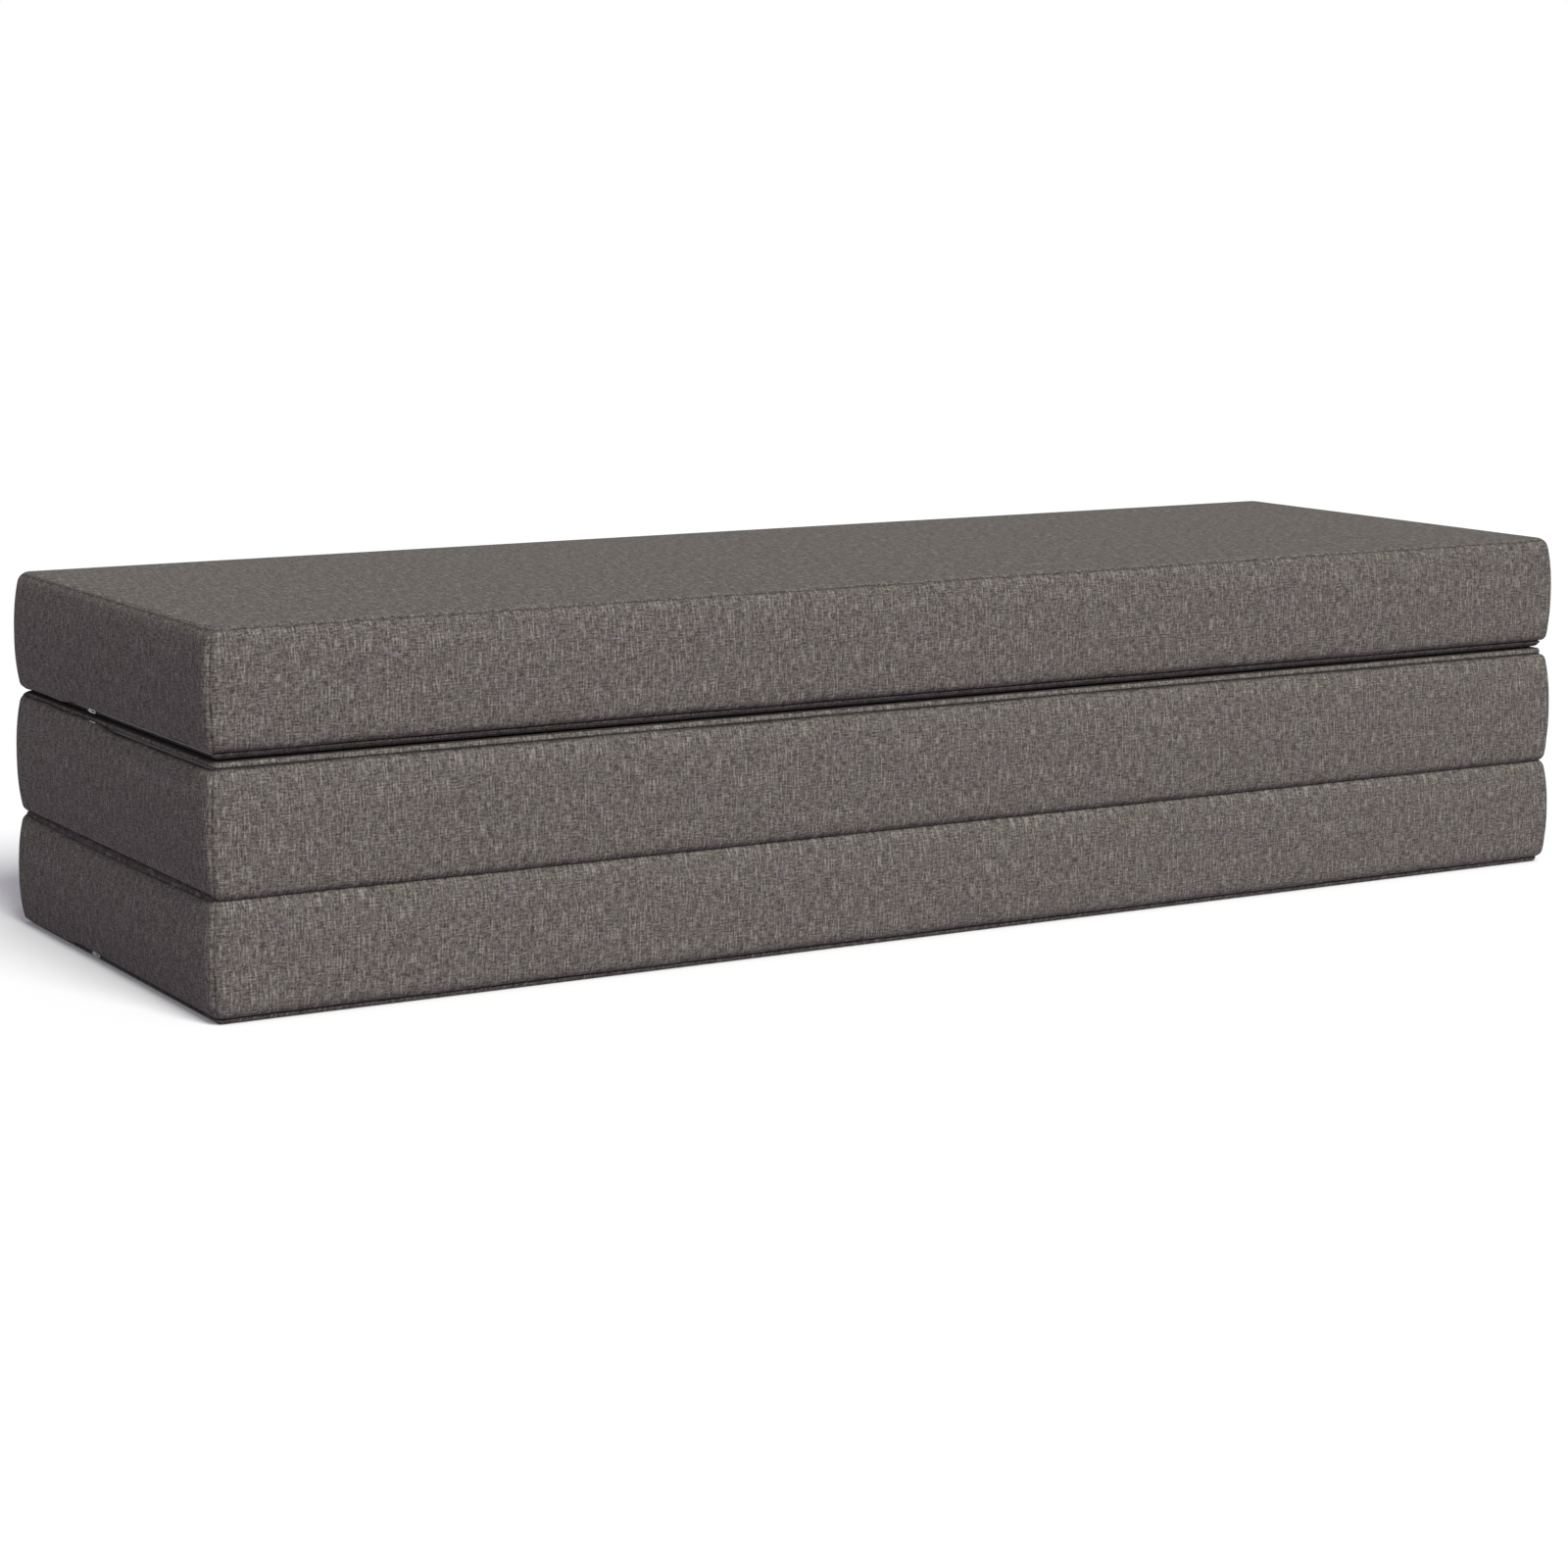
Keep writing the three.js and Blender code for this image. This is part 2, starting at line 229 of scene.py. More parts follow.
def rounded_block(
    size: tuple[float, float, float], middle: tuple[float, float, float], axis: int,
    corner: tuple[float, int], rim: tuple[float, int],
) -> bmesh.types.BMesh:
    """Shapes a block, rounded at its corners about one axis and then at the rims of its two ends.

    Args:
        size: Its length along x, y and z.
        middle: Its centre.
        axis: The number of that axis.
        corner: How far the corners' rounding reaches, and its steps.
        rim: How far the rims' rounding reaches, and its steps.

    Returns:
        The block.
    """
    bm = bmesh.new()
    bmesh.ops.create_cube(bm, size=1.0)
    bmesh.ops.scale(bm, vec=size, verts=bm.verts)
    bmesh.ops.translate(bm, vec=middle, verts=bm.verts)
    for (reach, steps), upright in ((corner, True), (rim, False)):
        edges = [e for e in bm.edges if (abs(e.verts[0].co[axis] - e.verts[1].co[axis]) > TINY) == upright]
        bmesh.ops.bevel(
            bm, geom=edges, offset=reach, offset_type="OFFSET", segments=steps, profile=0.5,
            affect="EDGES", material=-1,
        )
    return bm


@dataclass(frozen=True)
class Ripple:
    """An uneven wave in the cloth, the same on each run."""

    height: float
    wavelength: float

    def at(self, along: np.ndarray, phase: float) -> np.ndarray:
        """Gives the wave, between about its height above and below nothing.

        Args:
            along: Places along the cloth.
            phase: A shift that makes one piece differ from the next.

        Returns:
            Its value at each place.
        """
        turn = FULL_TURN * np.asarray(along) / self.wavelength
        return self.height * sum(
            share * np.sin(pitch * turn + by_phase * phase + start)
            for share, pitch, by_phase, start in WAVE_PARTS
        )


@dataclass(frozen=True)
class Grain:
    """One pattern in the weave: noise with grains of a width and length, and its share of the tone."""

    width: float
    length: float
    share: float = 1.0
    detail: float = 0.0
    roughness: float = 0.55
    levels: tuple[float, float] | None = None

    def drawn(self, tree: bpy.types.NodeTree, place: bpy.types.NodeSocket) -> bpy.types.NodeSocket:
        """Adds the pattern's nodes.

        Args:
            tree: The material's node tree.
            place: The coordinates, in metres.

        Returns:
            The pattern, from 0 to 1, and where it has levels, from the lower one to the upper.
        """
        stretch = {"Vector": place, "Scale": (1 / self.width, 1 / self.length, 1)}
        scaled = add_node(tree, "ShaderNodeMapping", stretch).outputs["Vector"]
        inputs = {"Vector": scaled, "Scale": 1.0, "Detail": self.detail, "Roughness": self.roughness}
        noise = add_node(tree, "ShaderNodeTexNoise", inputs, noise_dimensions="2D").outputs["Fac"]
        if not self.levels:
            return noise
        span = {"Value": noise, "From Min": self.levels[0], "From Max": self.levels[1]}
        return add_node(tree, "ShaderNodeMapRange", span).outputs["Result"]


@dataclass(frozen=True)
class LinenWeave:
    """Linen-look polyester, woven from melange yarn: matt, with slubs and flecks of light and dark thread.

    The real threads are about half a millimetre wide. They are drawn three to four times as wide, so that
    they show, and shade is painted into the cloth at its seams, where the fold would shut the light out.
    Clouds, where the yarn runs lighter or darker, and broader patches, where it is slightly cooler, keep the
    faces from being even.
    """

    name: str = "linen-look polyester weave"
    dark: str = "#453f3d"
    middle: str = "#6a6561"
    light: str = "#8e8985"
    # The colour of the shade painted into the seams.
    seam: str = "#161313"
    cool: tuple[float, float, float, float] = (0.975, 0.965, 1.03, 1.0)
    fleck: Grain = Grain(2.5 * MM, 2.2 * MM, 0.40)
    cloud: Grain = Grain(9 * MM, 12 * MM, 0.10)
    weft: Grain = Grain(11 * MM, 1.8 * MM, 0.36)
    warp: Grain = Grain(2.0 * MM, 8.5 * MM, 0.36)
    slub: Grain = Grain(2.3 * MM, 26 * MM, 0.19, levels=(0.60, 0.76))
    patch: Grain = Grain(62 * MM, 42 * MM, detail=1.0, levels=(0.48, 0.72))
    lowest: float = -0.19
    stops: tuple[float, float, float] = (0.22, 0.50, 0.80)
    yarn_pitch: float = 1.1 * MM
    yarn_share: float = 0.25
    bump_height: float = 0.35 * MM
    bump_strength: float = 0.7
    roughness: float = 0.95
    specular: float = 0.1

    def make(self) -> bpy.types.Material:
        """Makes the weave from warp and weft noise stretched along each thread.

        Returns:
            The material, which reads the piece's own UV map in metres and the shade painted at its seams.
        """
        material, tree = new_material(self.name)
        place = add_node(tree, "ShaderNodeUVMap", uv_map=CLOTH_UV).outputs["UV"]
        total = self.lowest
        for grain in (self.fleck, self.cloud, self.weft, self.warp, self.slub):
            inputs = {0: grain.drawn(tree, place), 1: grain.share, 2: total}
            total = add_node(tree, "ShaderNodeMath", inputs, operation="MULTIPLY_ADD").outputs[0]
        ramp = add_node(tree, "ShaderNodeValToRGB", {"Fac": total})
        tones = ramp.color_ramp.elements
        tones[0].position, tones[0].color = self.stops[0], linear(self.dark)
        tones[1].position, tones[1].color = self.stops[2], linear(self.light)
        tones.new(self.stops[1]).color = linear(self.middle)
        tint = {MIX_FACTOR: self.patch.drawn(tree, place), MIX_A: ramp.outputs["Color"], MIX_B: self.cool}
        cooled = add_node(tree, "ShaderNodeMix", tint, data_type="RGBA", blend_type="MULTIPLY")
        # Shade is painted in: the colour is mixed towards the seam colour by the painted seam shade.
        shade = add_node(tree, "ShaderNodeAttribute", attribute_name=PAINTED_SEAM_SHADE).outputs["Fac"]
        sewn = {MIX_FACTOR: shade, MIX_A: cooled.outputs[MIX_RESULT], MIX_B: linear(self.seam)}
        colour = add_node(tree, "ShaderNodeMix", sewn, data_type="RGBA").outputs[MIX_RESULT]
        yarns = {"Vector": place, "Scale": 1 / self.yarn_pitch}
        crossings = add_node(tree, "ShaderNodeTexChecker", yarns).outputs["Fac"]
        relief = {0: crossings, 1: self.yarn_share, 2: total}
        height = add_node(tree, "ShaderNodeMath", relief, operation="MULTIPLY_ADD").outputs[0]
        bump = {"Strength": self.bump_strength, "Distance": self.bump_height, "Height": height}
        normal = add_node(tree, "ShaderNodeBump", bump).outputs["Normal"]
        surface = {
            "Base Color": colour, "Roughness": self.roughness, "Specular IOR Level": self.specular,
            "Normal": normal,
        }
        shader = add_node(tree, "ShaderNodeBsdfPrincipled", surface)
        add_node(tree, "ShaderNodeOutputMaterial", {"Surface": shader.outputs["BSDF"]})
        return material


@dataclass(frozen=True)
class UrethaneFoam:
    """Slabstock polyurethane foam, sawn: pale, matt and finely pitted by its open cells."""

    name: str
    colour: str
    # The colour painted into the cells' pits as shade.
    shade: str
    cell: float = 1.2 * MM
    pit_depth: float = 0.5 * MM
    pit_strength: float = 0.8
    roughness: float = 0.95

    def make(self) -> bpy.types.Material:
        """Makes the foam from small open cells.

        Returns:
            The material, on Object coordinates.
        """
        material, tree = new_material(self.name)
        place = add_node(tree, "ShaderNodeTexCoord").outputs["Object"]
        grid = {"Vector": place, "Scale": 1 / self.cell}
        cells = add_node(tree, "ShaderNodeTexVoronoi", grid).outputs["Distance"]
        # The shade colour is painted into the pits at the cells' centres.
        pitted = {MIX_FACTOR: cells, MIX_A: linear(self.shade), MIX_B: linear(self.colour)}
        colour = add_node(tree, "ShaderNodeMix", pitted, data_type="RGBA").outputs[MIX_RESULT]
        bump = {"Strength": self.pit_strength, "Distance": self.pit_depth, "Height": cells}
        normal = add_node(tree, "ShaderNodeBump", bump).outputs["Normal"]
        surface = {"Base Color": colour, "Roughness": self.roughness, "Normal": normal}
        shader = add_node(tree, "ShaderNodeBsdfPrincipled", surface)
        add_node(tree, "ShaderNodeOutputMaterial", {"Surface": shader.outputs["BSDF"]})
        return material


@dataclass(frozen=True)
class PlainFinish:
    """An even finish with fine mottling: moulded nylon, ribbed by its coil, or plated zinc alloy.

    A wave node's diagonal bands lie pi / 5 apart at a scale of 1, so the coil's pitch sets the scale.
    """

    name: str
    colour: str
    roughness: float
    metallic: float
    grain: float = 0.6 * MM
    grain_detail: float = 3.0
    grain_depth: float = 0.05 * MM
    grain_strength: float = 0.2
    gloss_range: tuple[float, float] = (0.8, 1.2)
    coil: float = 0.0
    coil_depth: float = 0.5 * MM

    def make(self) -> bpy.types.Material:
        """Makes the finish with slight changes of roughness.

        Returns:
            The material, on Object coordinates.
        """
        material, tree = new_material(self.name)
        place = add_node(tree, "ShaderNodeTexCoord").outputs["Object"]
        mottle = {"Vector": place, "Scale": 1 / self.grain, "Detail": self.grain_detail}
        noise = add_node(tree, "ShaderNodeTexNoise", mottle).outputs["Fac"]
        least, most = (self.roughness * factor for factor in self.gloss_range)
        spread = {"Value": noise, "To Min": least, "To Max": most}
        rough = add_node(tree, "ShaderNodeMapRange", spread).outputs["Result"]
        bump = {"Strength": self.grain_strength, "Distance": self.grain_depth, "Height": noise}
        if self.coil:
            turns = {"Vector": place, "Scale": math.pi / (5 * self.coil)}
            ribs = add_node(
                tree, "ShaderNodeTexWave", turns, wave_type="BANDS", bands_direction="DIAGONAL"
            ).outputs["Fac"]
            bump = {"Strength": 1.0, "Distance": self.coil_depth, "Height": ribs}
        normal = add_node(tree, "ShaderNodeBump", bump).outputs["Normal"]
        surface = {
            "Base Color": linear(self.colour), "Metallic": self.metallic, "Roughness": rough,
            "Normal": normal,
        }
        shader = add_node(tree, "ShaderNodeBsdfPrincipled", surface)
        add_node(tree, "ShaderNodeOutputMaterial", {"Surface": shader.outputs["BSDF"]})
        return material


class Finishes:
    """The finishes of the bed, one material each, by slot."""

    def __init__(self) -> None:
        """Makes every material once."""
        self.by_slot = {
            Slot.COVER: LinenWeave().make(),
            Slot.UNDER: LinenWeave(
                name="plain polyester lining weave", dark="#3a3533", middle="#524d4a", light="#67625e"
            ).make(),
            Slot.SUPPORT: UrethaneFoam("sawn polyurethane foam, cream", "#e6dcc3", "#c9bb98").make(),
            Slot.COMFORT: UrethaneFoam("sawn polyurethane foam, white", "#efece6", "#d3cfc4").make(),
            Slot.NYLON: PlainFinish(
                "moulded nylon coil", "#2b292a", roughness=0.5, metallic=0.0, coil=1.6 * MM
            ).make(),
            Slot.METAL: PlainFinish(
                "nickel-plated zinc alloy", "#b4b5b7", roughness=0.34, metallic=1.0
            ).make(),
        }

    def dress(self, piece: bpy.types.Object, slot: Slot) -> None:
        """Gives a piece one slot's finish, and reports it.

        Args:
            piece: The piece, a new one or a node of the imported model.
            slot: The slot it takes.
        """
        if "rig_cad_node" in piece:
            for held in piece.material_slots:
                held.material = self.by_slot[slot]
        else:
            piece.data.materials.clear()
            piece.data.materials.append(self.by_slot[slot])
        log.info("%s: %s, %d points", piece.name, slot.value, len(piece.data.vertices))


@dataclass
class CoverPanel:
    """One cut panel of cloth, as a grid of points: columns along it and rows up it."""

    along: np.ndarray
    up: np.ndarray
    points: np.ndarray
    # How much shade is painted into the cloth at each point, from 0 to 1.
    shade: np.ndarray
    fold_rows: tuple[int, ...] = ()
    corner_columns: int = 0
    name: str = ""

    def cut(self, name: str, row: int, first: int, last: int) -> "CoverPanel":
        """Cuts a piece out of the panel.

        Args:
            name: The piece's name.
            row: Its first row.
            first: Its first column.
            last: Its last column.

        Returns:
            The piece.
        """
        kept = (slice(row, None), slice(first, last + 1))
        folds = tuple(fold - row for fold in self.fold_rows if fold > row)
        grids = (grid[kept] for grid in (self.along, self.up, self.points, self.shade))
        return CoverPanel(*grids, fold_rows=folds, name=name)

    def build(self, shift: float) -> bpy.types.Object:
        """Makes the panel's mesh with its cloth map in metres.

        Args:
            shift: How far the weave is shifted, so that no two panels match.

        Returns:
            The panel as an object at the origin.
        """
        rows, columns = self.points.shape[:2]
        bm = bmesh.new()
        bmesh.ops.create_grid(bm, x_segments=columns - 1, y_segments=rows - 1, size=1.0)
        piece = add_piece(self.name, bm)
        mesh = piece.data
        mesh.vertices.foreach_set("co", self.points.astype(np.float32).ravel())
        corners = np.empty(len(mesh.loops), dtype=np.int32)
        mesh.loops.foreach_get("vertex_index", corners)
        spots = np.stack([self.along + shift, self.up + shift], axis=-1).reshape(-1, 2)[corners]
        mesh.uv_layers.new(name=CLOTH_UV).data.foreach_set("uv", spots.astype(np.float32).ravel())
        # The painted seam shade goes into a point attribute that the weave reads.
        shades = mesh.attributes.new(PAINTED_SEAM_SHADE, "FLOAT", "POINT")
        shades.data.foreach_set("value", self.shade.astype(np.float32).ravel())
        mesh.shade_smooth()
        ends = np.empty(2 * len(mesh.edges), dtype=np.int32)
        mesh.edges.foreach_get("vertices", ends)
        row, column = np.divmod(ends.reshape(-1, 2), columns)
        crisp = (row[:, 0] == row[:, 1]) & np.isin(row[:, 0], (0, rows - 1, *self.fold_rows))
        crisp |= (column[:, 0] == column[:, 1]) & np.isin(column[:, 0], (0, columns - 1))
        mesh.attributes.new("sharp_edge", "BOOLEAN", "EDGE").data.foreach_set("value", crisp)
        mesh.update()
        return piece


@dataclass
class ClothPass:
    """Fills the padded panels out by cloth simulation on coarser copies, and moves the panels with them."""

    pressure: float = 4.0
    last_frame: int = 20
    grid: float = 12 * MM
    slack: float = 0.012
    mass: float = 0.3
    quality: int = 5
    smoothing: int = 3

    def settle(self, panels: list[tuple[CoverPanel, float]]) -> None:
        """Simulates all the panels side by side, and adds what the cloth moved to their points.

        Args:
            panels: Each padded panel, with the most that it may move.
        """
        copies = [self.coarse_copy(panel) for panel, _ in panels]
        scene = bpy.context.scene
        for number in range(1, self.last_frame + 1):
            scene.frame_set(number)
        graph = bpy.context.evaluated_depsgraph_get()
        for (panel, cap), (copy, rows, columns) in zip(panels, copies):
            shape = (len(rows), len(columns), 3)
            moved = self.corners(copy.evaluated_get(graph).data).reshape(shape)
            moved = moved - self.corners(copy.data).reshape(shape)
            far = float(np.linalg.norm(moved, axis=-1).max())
            log.info("%s: cloth moved up to %.1f mm, kept to %.1f mm", panel.name, far / MM, cap / MM)
            self.take_up(panel, moved * min(1.0, cap / max(far, TINY)), rows, columns)
            bpy.data.meshes.remove(copy.data)
        scene.frame_set(1)

    def corners(self, mesh: bpy.types.Mesh) -> np.ndarray:
        """Reads a mesh's points.

        Args:
            mesh: The mesh.

        Returns:
            Their coordinates in one row.
        """
        values = np.empty(3 * len(mesh.vertices), dtype=np.float32)
        mesh.vertices.foreach_get("co", values)
        return values.astype(float)

    def coarse_copy(self, panel: CoverPanel) -> tuple[bpy.types.Object, np.ndarray, np.ndarray]:
        """Makes a coarse copy of a panel's loose part, pinned at its seams, as cloth.

        Args:
            panel: The padded panel.

        Returns:
            The copy, and the rows and columns of the panel that it has.
        """
        all_rows = np.arange(1, panel.points.shape[0] - 1)
        all_columns = np.arange(panel.corner_columns, panel.points.shape[1] - panel.corner_columns)
        centre_row = panel.points[all_rows[len(all_rows) // 2], all_columns]
        centre_column = panel.points[all_rows, all_columns[len(all_columns) // 2]]
        rows = all_rows[self.evenly(centre_column)]
        columns = all_columns[self.evenly(centre_row)]
        part = np.ix_(rows, columns)
        grids = (grid[part] for grid in (panel.along, panel.up, panel.points, panel.shade))
        copy = CoverPanel(*grids, name=f"{panel.name}_loose").build(0.0)
        grid = np.arange(len(rows) * len(columns)).reshape(len(rows), len(columns))
        rim = np.unique(np.concatenate([grid[0], grid[-1], grid[:, 0], grid[:, -1]]))
        pins = copy.vertex_groups.new(name="sewn edge")
        pins.add([int(spot) for spot in rim], 1.0, "REPLACE")
        cloth = copy.modifiers.new("cover cloth", "CLOTH")
        settings = cloth.settings
        settings.quality = self.quality
        settings.mass = self.mass
        settings.use_pressure = True
        settings.uniform_pressure_force = self.pressure
        settings.vertex_group_mass = pins.name
        settings.shrink_min = -self.slack
        settings.effector_weights.gravity = 0.0
        return copy, rows, columns

    def evenly(self, line: np.ndarray) -> np.ndarray:
        """Picks points along a line about one grid cell apart, with both of its ends.

        Args:
            line: The points along the line.

        Returns:
            The picked points' numbers.
        """
        steps = np.linalg.norm(np.diff(line, axis=0), axis=1)
        path = np.concatenate([[0.0], np.cumsum(steps)])
        wanted = np.linspace(0, path[-1], max(3, round(path[-1] / self.grid) + 1))
        return np.unique([int(np.abs(path - spot).argmin()) for spot in wanted])

    def take_up(self, panel: CoverPanel, moved: np.ndarray, rows: np.ndarray, columns: np.ndarray) -> None:
        """Spreads the coarse movement over the panel's own points.

        Args:
            panel: The panel, whose points are moved.
            moved: The movement of each coarse point.
            rows: The panel's rows that the coarse points lie on.
            columns: The panel's columns that they lie on.
        """
        fine_rows = np.arange(rows[0], rows[-1] + 1)
        fine_columns = np.arange(columns[0], columns[-1] + 1)
        path_up = np.linalg.norm(np.diff(panel.points[:, columns[len(columns) // 2]], axis=0), axis=1)
        up = np.concatenate([[0.0], np.cumsum(path_up)])
        path_on = np.linalg.norm(np.diff(panel.points[rows[len(rows) // 2]], axis=0), axis=1)
        on = np.concatenate([[0.0], np.cumsum(path_on)])
        for axis in range(3):
            wide = np.array([np.interp(on[fine_columns], on[columns], line) for line in moved[:, :, axis]])
            full = np.array([np.interp(up[fine_rows], up[rows], line) for line in wide.T]).T
            for _ in range(self.smoothing):
                full[1:-1] = (full[:-2] + 2 * full[1:-1] + full[2:]) / 4
                full[:, 1:-1] = (full[:, :-2] + 2 * full[:, 1:-1] + full[:, 2:]) / 4
            panel.points[fine_rows[0]:fine_rows[-1] + 1, fine_columns[0]:fine_columns[-1] + 1, axis] += full


@dataclass
class WallLine:
    """The line that a wall follows in plan, round both corners of a long one, with its heights along it."""

    side: Side
    path: np.ndarray
    across: np.ndarray
    sign: np.ndarray
    angle: np.ndarray
    foot: np.ndarray
    top: np.ndarray
    seam: np.ndarray
    ledge: np.ndarray


@dataclass
class Section:
    """One foam section in its zipped cover, shaped with its sleeping face up and then laid in the stack."""

    name: str
    turned: bool
    free: bool
    folds: dict[Side, str]
    phase: float
    # The sleeping seam: how far it lies below the face at the ends and at the front.
    edge_drop: float
    front_drop: float
    # The rounding of the walls' upper edge at the ends and at the front, and the width of the face's own.
    head_radius: float
    front_radius: float
    shoulder: float
    # How far the sleeping seam sags halfway along an end.
    end_sag: float = 0.0
    # The end walls' foot hangs over the strip from hang_from on towards the back, within hang_ease, and then
    # round the corner for the share hung_turn. Its waves die out within foot_ease of the corners.
    hang: float = 5.0 * MM
    hang_from: float = 0.10
    hang_ease: float = 90 * MM
    hung_turn: float = 0.7
    foot_wave: Ripple = Ripple(0.9 * MM, 0.17)
    foot_ease: float = 60 * MM
    # The crease: how far past the wall's edge it lies, how far in, and where its corner pieces start. Its
    # cloth starts as a flange, flat at the face, and rolls from inside the wall's edge down to the crease.
    crease_below: float = 0.0
    crease_depth: float = 0.0
    crease_turn: float = math.radians(60)
    crease_rows: int = 11
    crease_start: float = 0.2 * MM
    crease_least: float = 1.5 * MM
    crease_flange: tuple[float, float] = (-8.0 * MM, -0.6 * MM)
    flange_lift: float = 0.1 * MM
    # The section between its seams, and the radius of its corners.
    length: float = 1.930
    depth: float = 0.655
    thickness: float = 0.147
    corner: float = 14 * MM
    # The bulge of the walls, flatter in the middle with a higher power. A corner bulges as the end does for
    # the share end_turn, and then more and more as the long wall.
    bulge: float = 6.0 * MM
    soft_power: float = 4.5
    firm_power: float = 10.0
    end_bulge: float = 7.5 * MM
    end_power: float = 2.4
    end_turn: float = 0.35
    foot_radius: float = 6.5 * MM
    # Slow, slanting swells in the walls, and short puckers, which start beside each seam and fade out. Both
    # die out within relief_ease of an end's corners, and the shift makes the two ends differ.
    swell: Ripple = Ripple(0.6 * MM, 0.42)
    swell_lean: float = 0.4
    pucker: Ripple = Ripple(0.30 * MM, 26 * MM)
    pucker_start: float = 2 * MM
    pucker_fade: float = 9 * MM
    relief_ease: float = 30 * MM
    relief_shift: float = 3.0
    # The free face: its lift, its crown, which rises from its edge within crown_ease, and its slow swells,
    # which run askew over it.
    free_lift: float = 3 * MM
    crown: float = 3.4 * MM
    crown_power: int = 6
    crown_ease: float = 40 * MM
    crown_swell: Ripple = Ripple(0.5 * MM, 0.38)
    cross_swell: Ripple = Ripple(1.0, 0.5)
    swell_turn: float = 0.3
    swell_shift: float = 0.2
    swell_ease: float = 50 * MM
    # How far the cloth may still fill out the walls and the crown, and a squashed wall's spare room.
    cloth_room: float = 1.6 * MM
    crown_room: float = 2.0 * MM
    squash_room: float = 1.0 * MM
    # The heights of the walls' feet: over the front lip, over the zip at the ends, and where there is none.
    lip_foot: float = 8.8 * MM
    lip_wave: Ripple = Ripple(0.7 * MM, 0.31)
    zip_foot: float = 9.6 * MM
    plain_foot: float = 0.3 * MM
    # The border strip: the height of its upper edge, its inset, how much farther in its lower edge lies, and
    # its gap below the lip. Its rows are shares of its height, and the last of them turn in a little.
    zip_strip: float = 6.1 * MM
    strip_inset: float = 5.6 * MM
    strip_slant: float = 1.5 * MM
    strip_gap: float = 0.9 * MM
    strip_shares: tuple[float, ...] = (0, 0, 0.08, 0.22, 0.42, 0.64, 0.84, 0.96, 1, 1)
    strip_lip: float = 0.5 * MM
    strip_lip_from: float = 0.84
    strip_turn_steps: int = 8
    strip_tuck: float = 4.5 * MM
    # The under panel, whose edge turns up over under_width times its lift to meet the strip.
    under_rest: float = 0.3 * MM
    under_lift: float = 1.2 * MM
    under_room: float = 0.1 * MM
    under_width: float = 4.0
    under_overlap: float = 0.3 * MM
    # The cloth's thickness, the depth of the sleeping seam, what sewn edges turn in, and the slit, groove
    # and raised lips that show at the seams.
    cloth: float = 0.9 * MM
    head_depth: float = 3.6 * MM
    tuck: float = 2.5 * MM
    seam_slit: float = 0.5 * MM
    seam_groove: float = 0.9 * MM
    groove_width: float = 0.9 * MM
    seam_lip: float = 0.5 * MM
    lip_place: float = 3.0 * MM
    lip_width: float = 1.6 * MM
    # How much shade is painted into each seam, and how wide each painted dark band is.
    end_shade: float = 0.5
    front_shade: float = 0.48
    corner_shade: float = 0.27
    foot_shade: float = 0.45
    crease_shade: float = 0.45
    under_shade: float = 0.7
    face_band: float = 1.0 * MM
    head_band: float = 1.3 * MM
    foot_band: float = 1.2 * MM
    strip_band: float = 0.9 * MM
    # The grids of points: their cells, and their closer rows at edges and corners. The weave is shifted a
    # step from each panel to the next.
    cell: float = 6 * MM
    face_cells: float = 1.2
    wall_rows: int = 30
    edge_rows: int = 10
    corner_steps: int = 22
    corner_crowding: float = 1.8
    weave_step: float = 1.37
    panels: dict[str, CoverPanel] = field(default_factory=dict)

    @property
    def half_length(self) -> float:
        """Half the length between the end seams."""
        return self.length / 2

    @property
    def half_depth(self) -> float:
        """Half the depth between the long seams."""
        return self.depth / 2

    @property
    def run_x(self) -> float:
        """Half the straight run of a long side, between its corners."""
        return self.half_length - self.corner

    @property
    def run_y(self) -> float:
        """Half the straight run of an end, between its corners."""
        return self.half_depth - self.corner

    @property
    def left(self) -> int:
        """The sign of x, in the section's own frame, at the left end of the stack."""
        return 1 if self.turned else -1

    @property
    def roll_top(self) -> float:
        """The height of the sleeping face at its edge."""
        return self.thickness + (self.free_lift if self.free else 0)

    @property
    def placed(self) -> Matrix:
        """The turn and lift from the section's own frame to the stack, taken from its under panel.

        Returns:
            The matrix.
        """
        low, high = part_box(f"{self.name}_under_panel")
        if self.turned:
            return Matrix.Translation((0, 0, high[2])) @ Matrix.Rotation(math.pi, 4, "Y")
        return Matrix.Translation((0, 0, low[2]))

    def places(self, run: float) -> np.ndarray:
        """Gives places about a cell apart, from one end of a straight run to the other."""
        return np.linspace(-run, run, int(2 * run / self.cell) + 1)

    def edge_height(self, sides: np.ndarray, across: np.ndarray) -> np.ndarray:
        """Gives the height of the sleeping seam.

        Args:
            sides: How far towards the front (-1) or the back (1) each spot lies, 0 at the ends.
            across: The spot's place across the section, for the sag of the seam halfway along an end.

        Returns:
            The height at each spot.
        """
        drop = between(self.edge_drop, self.front_drop, smooth_step(-sides))
        share = np.clip(np.abs(across) / self.run_y, 0, 1)
        return self.roll_top - drop - self.end_sag * (1 - share ** 2) * (1 - smooth_step(np.abs(sides)))

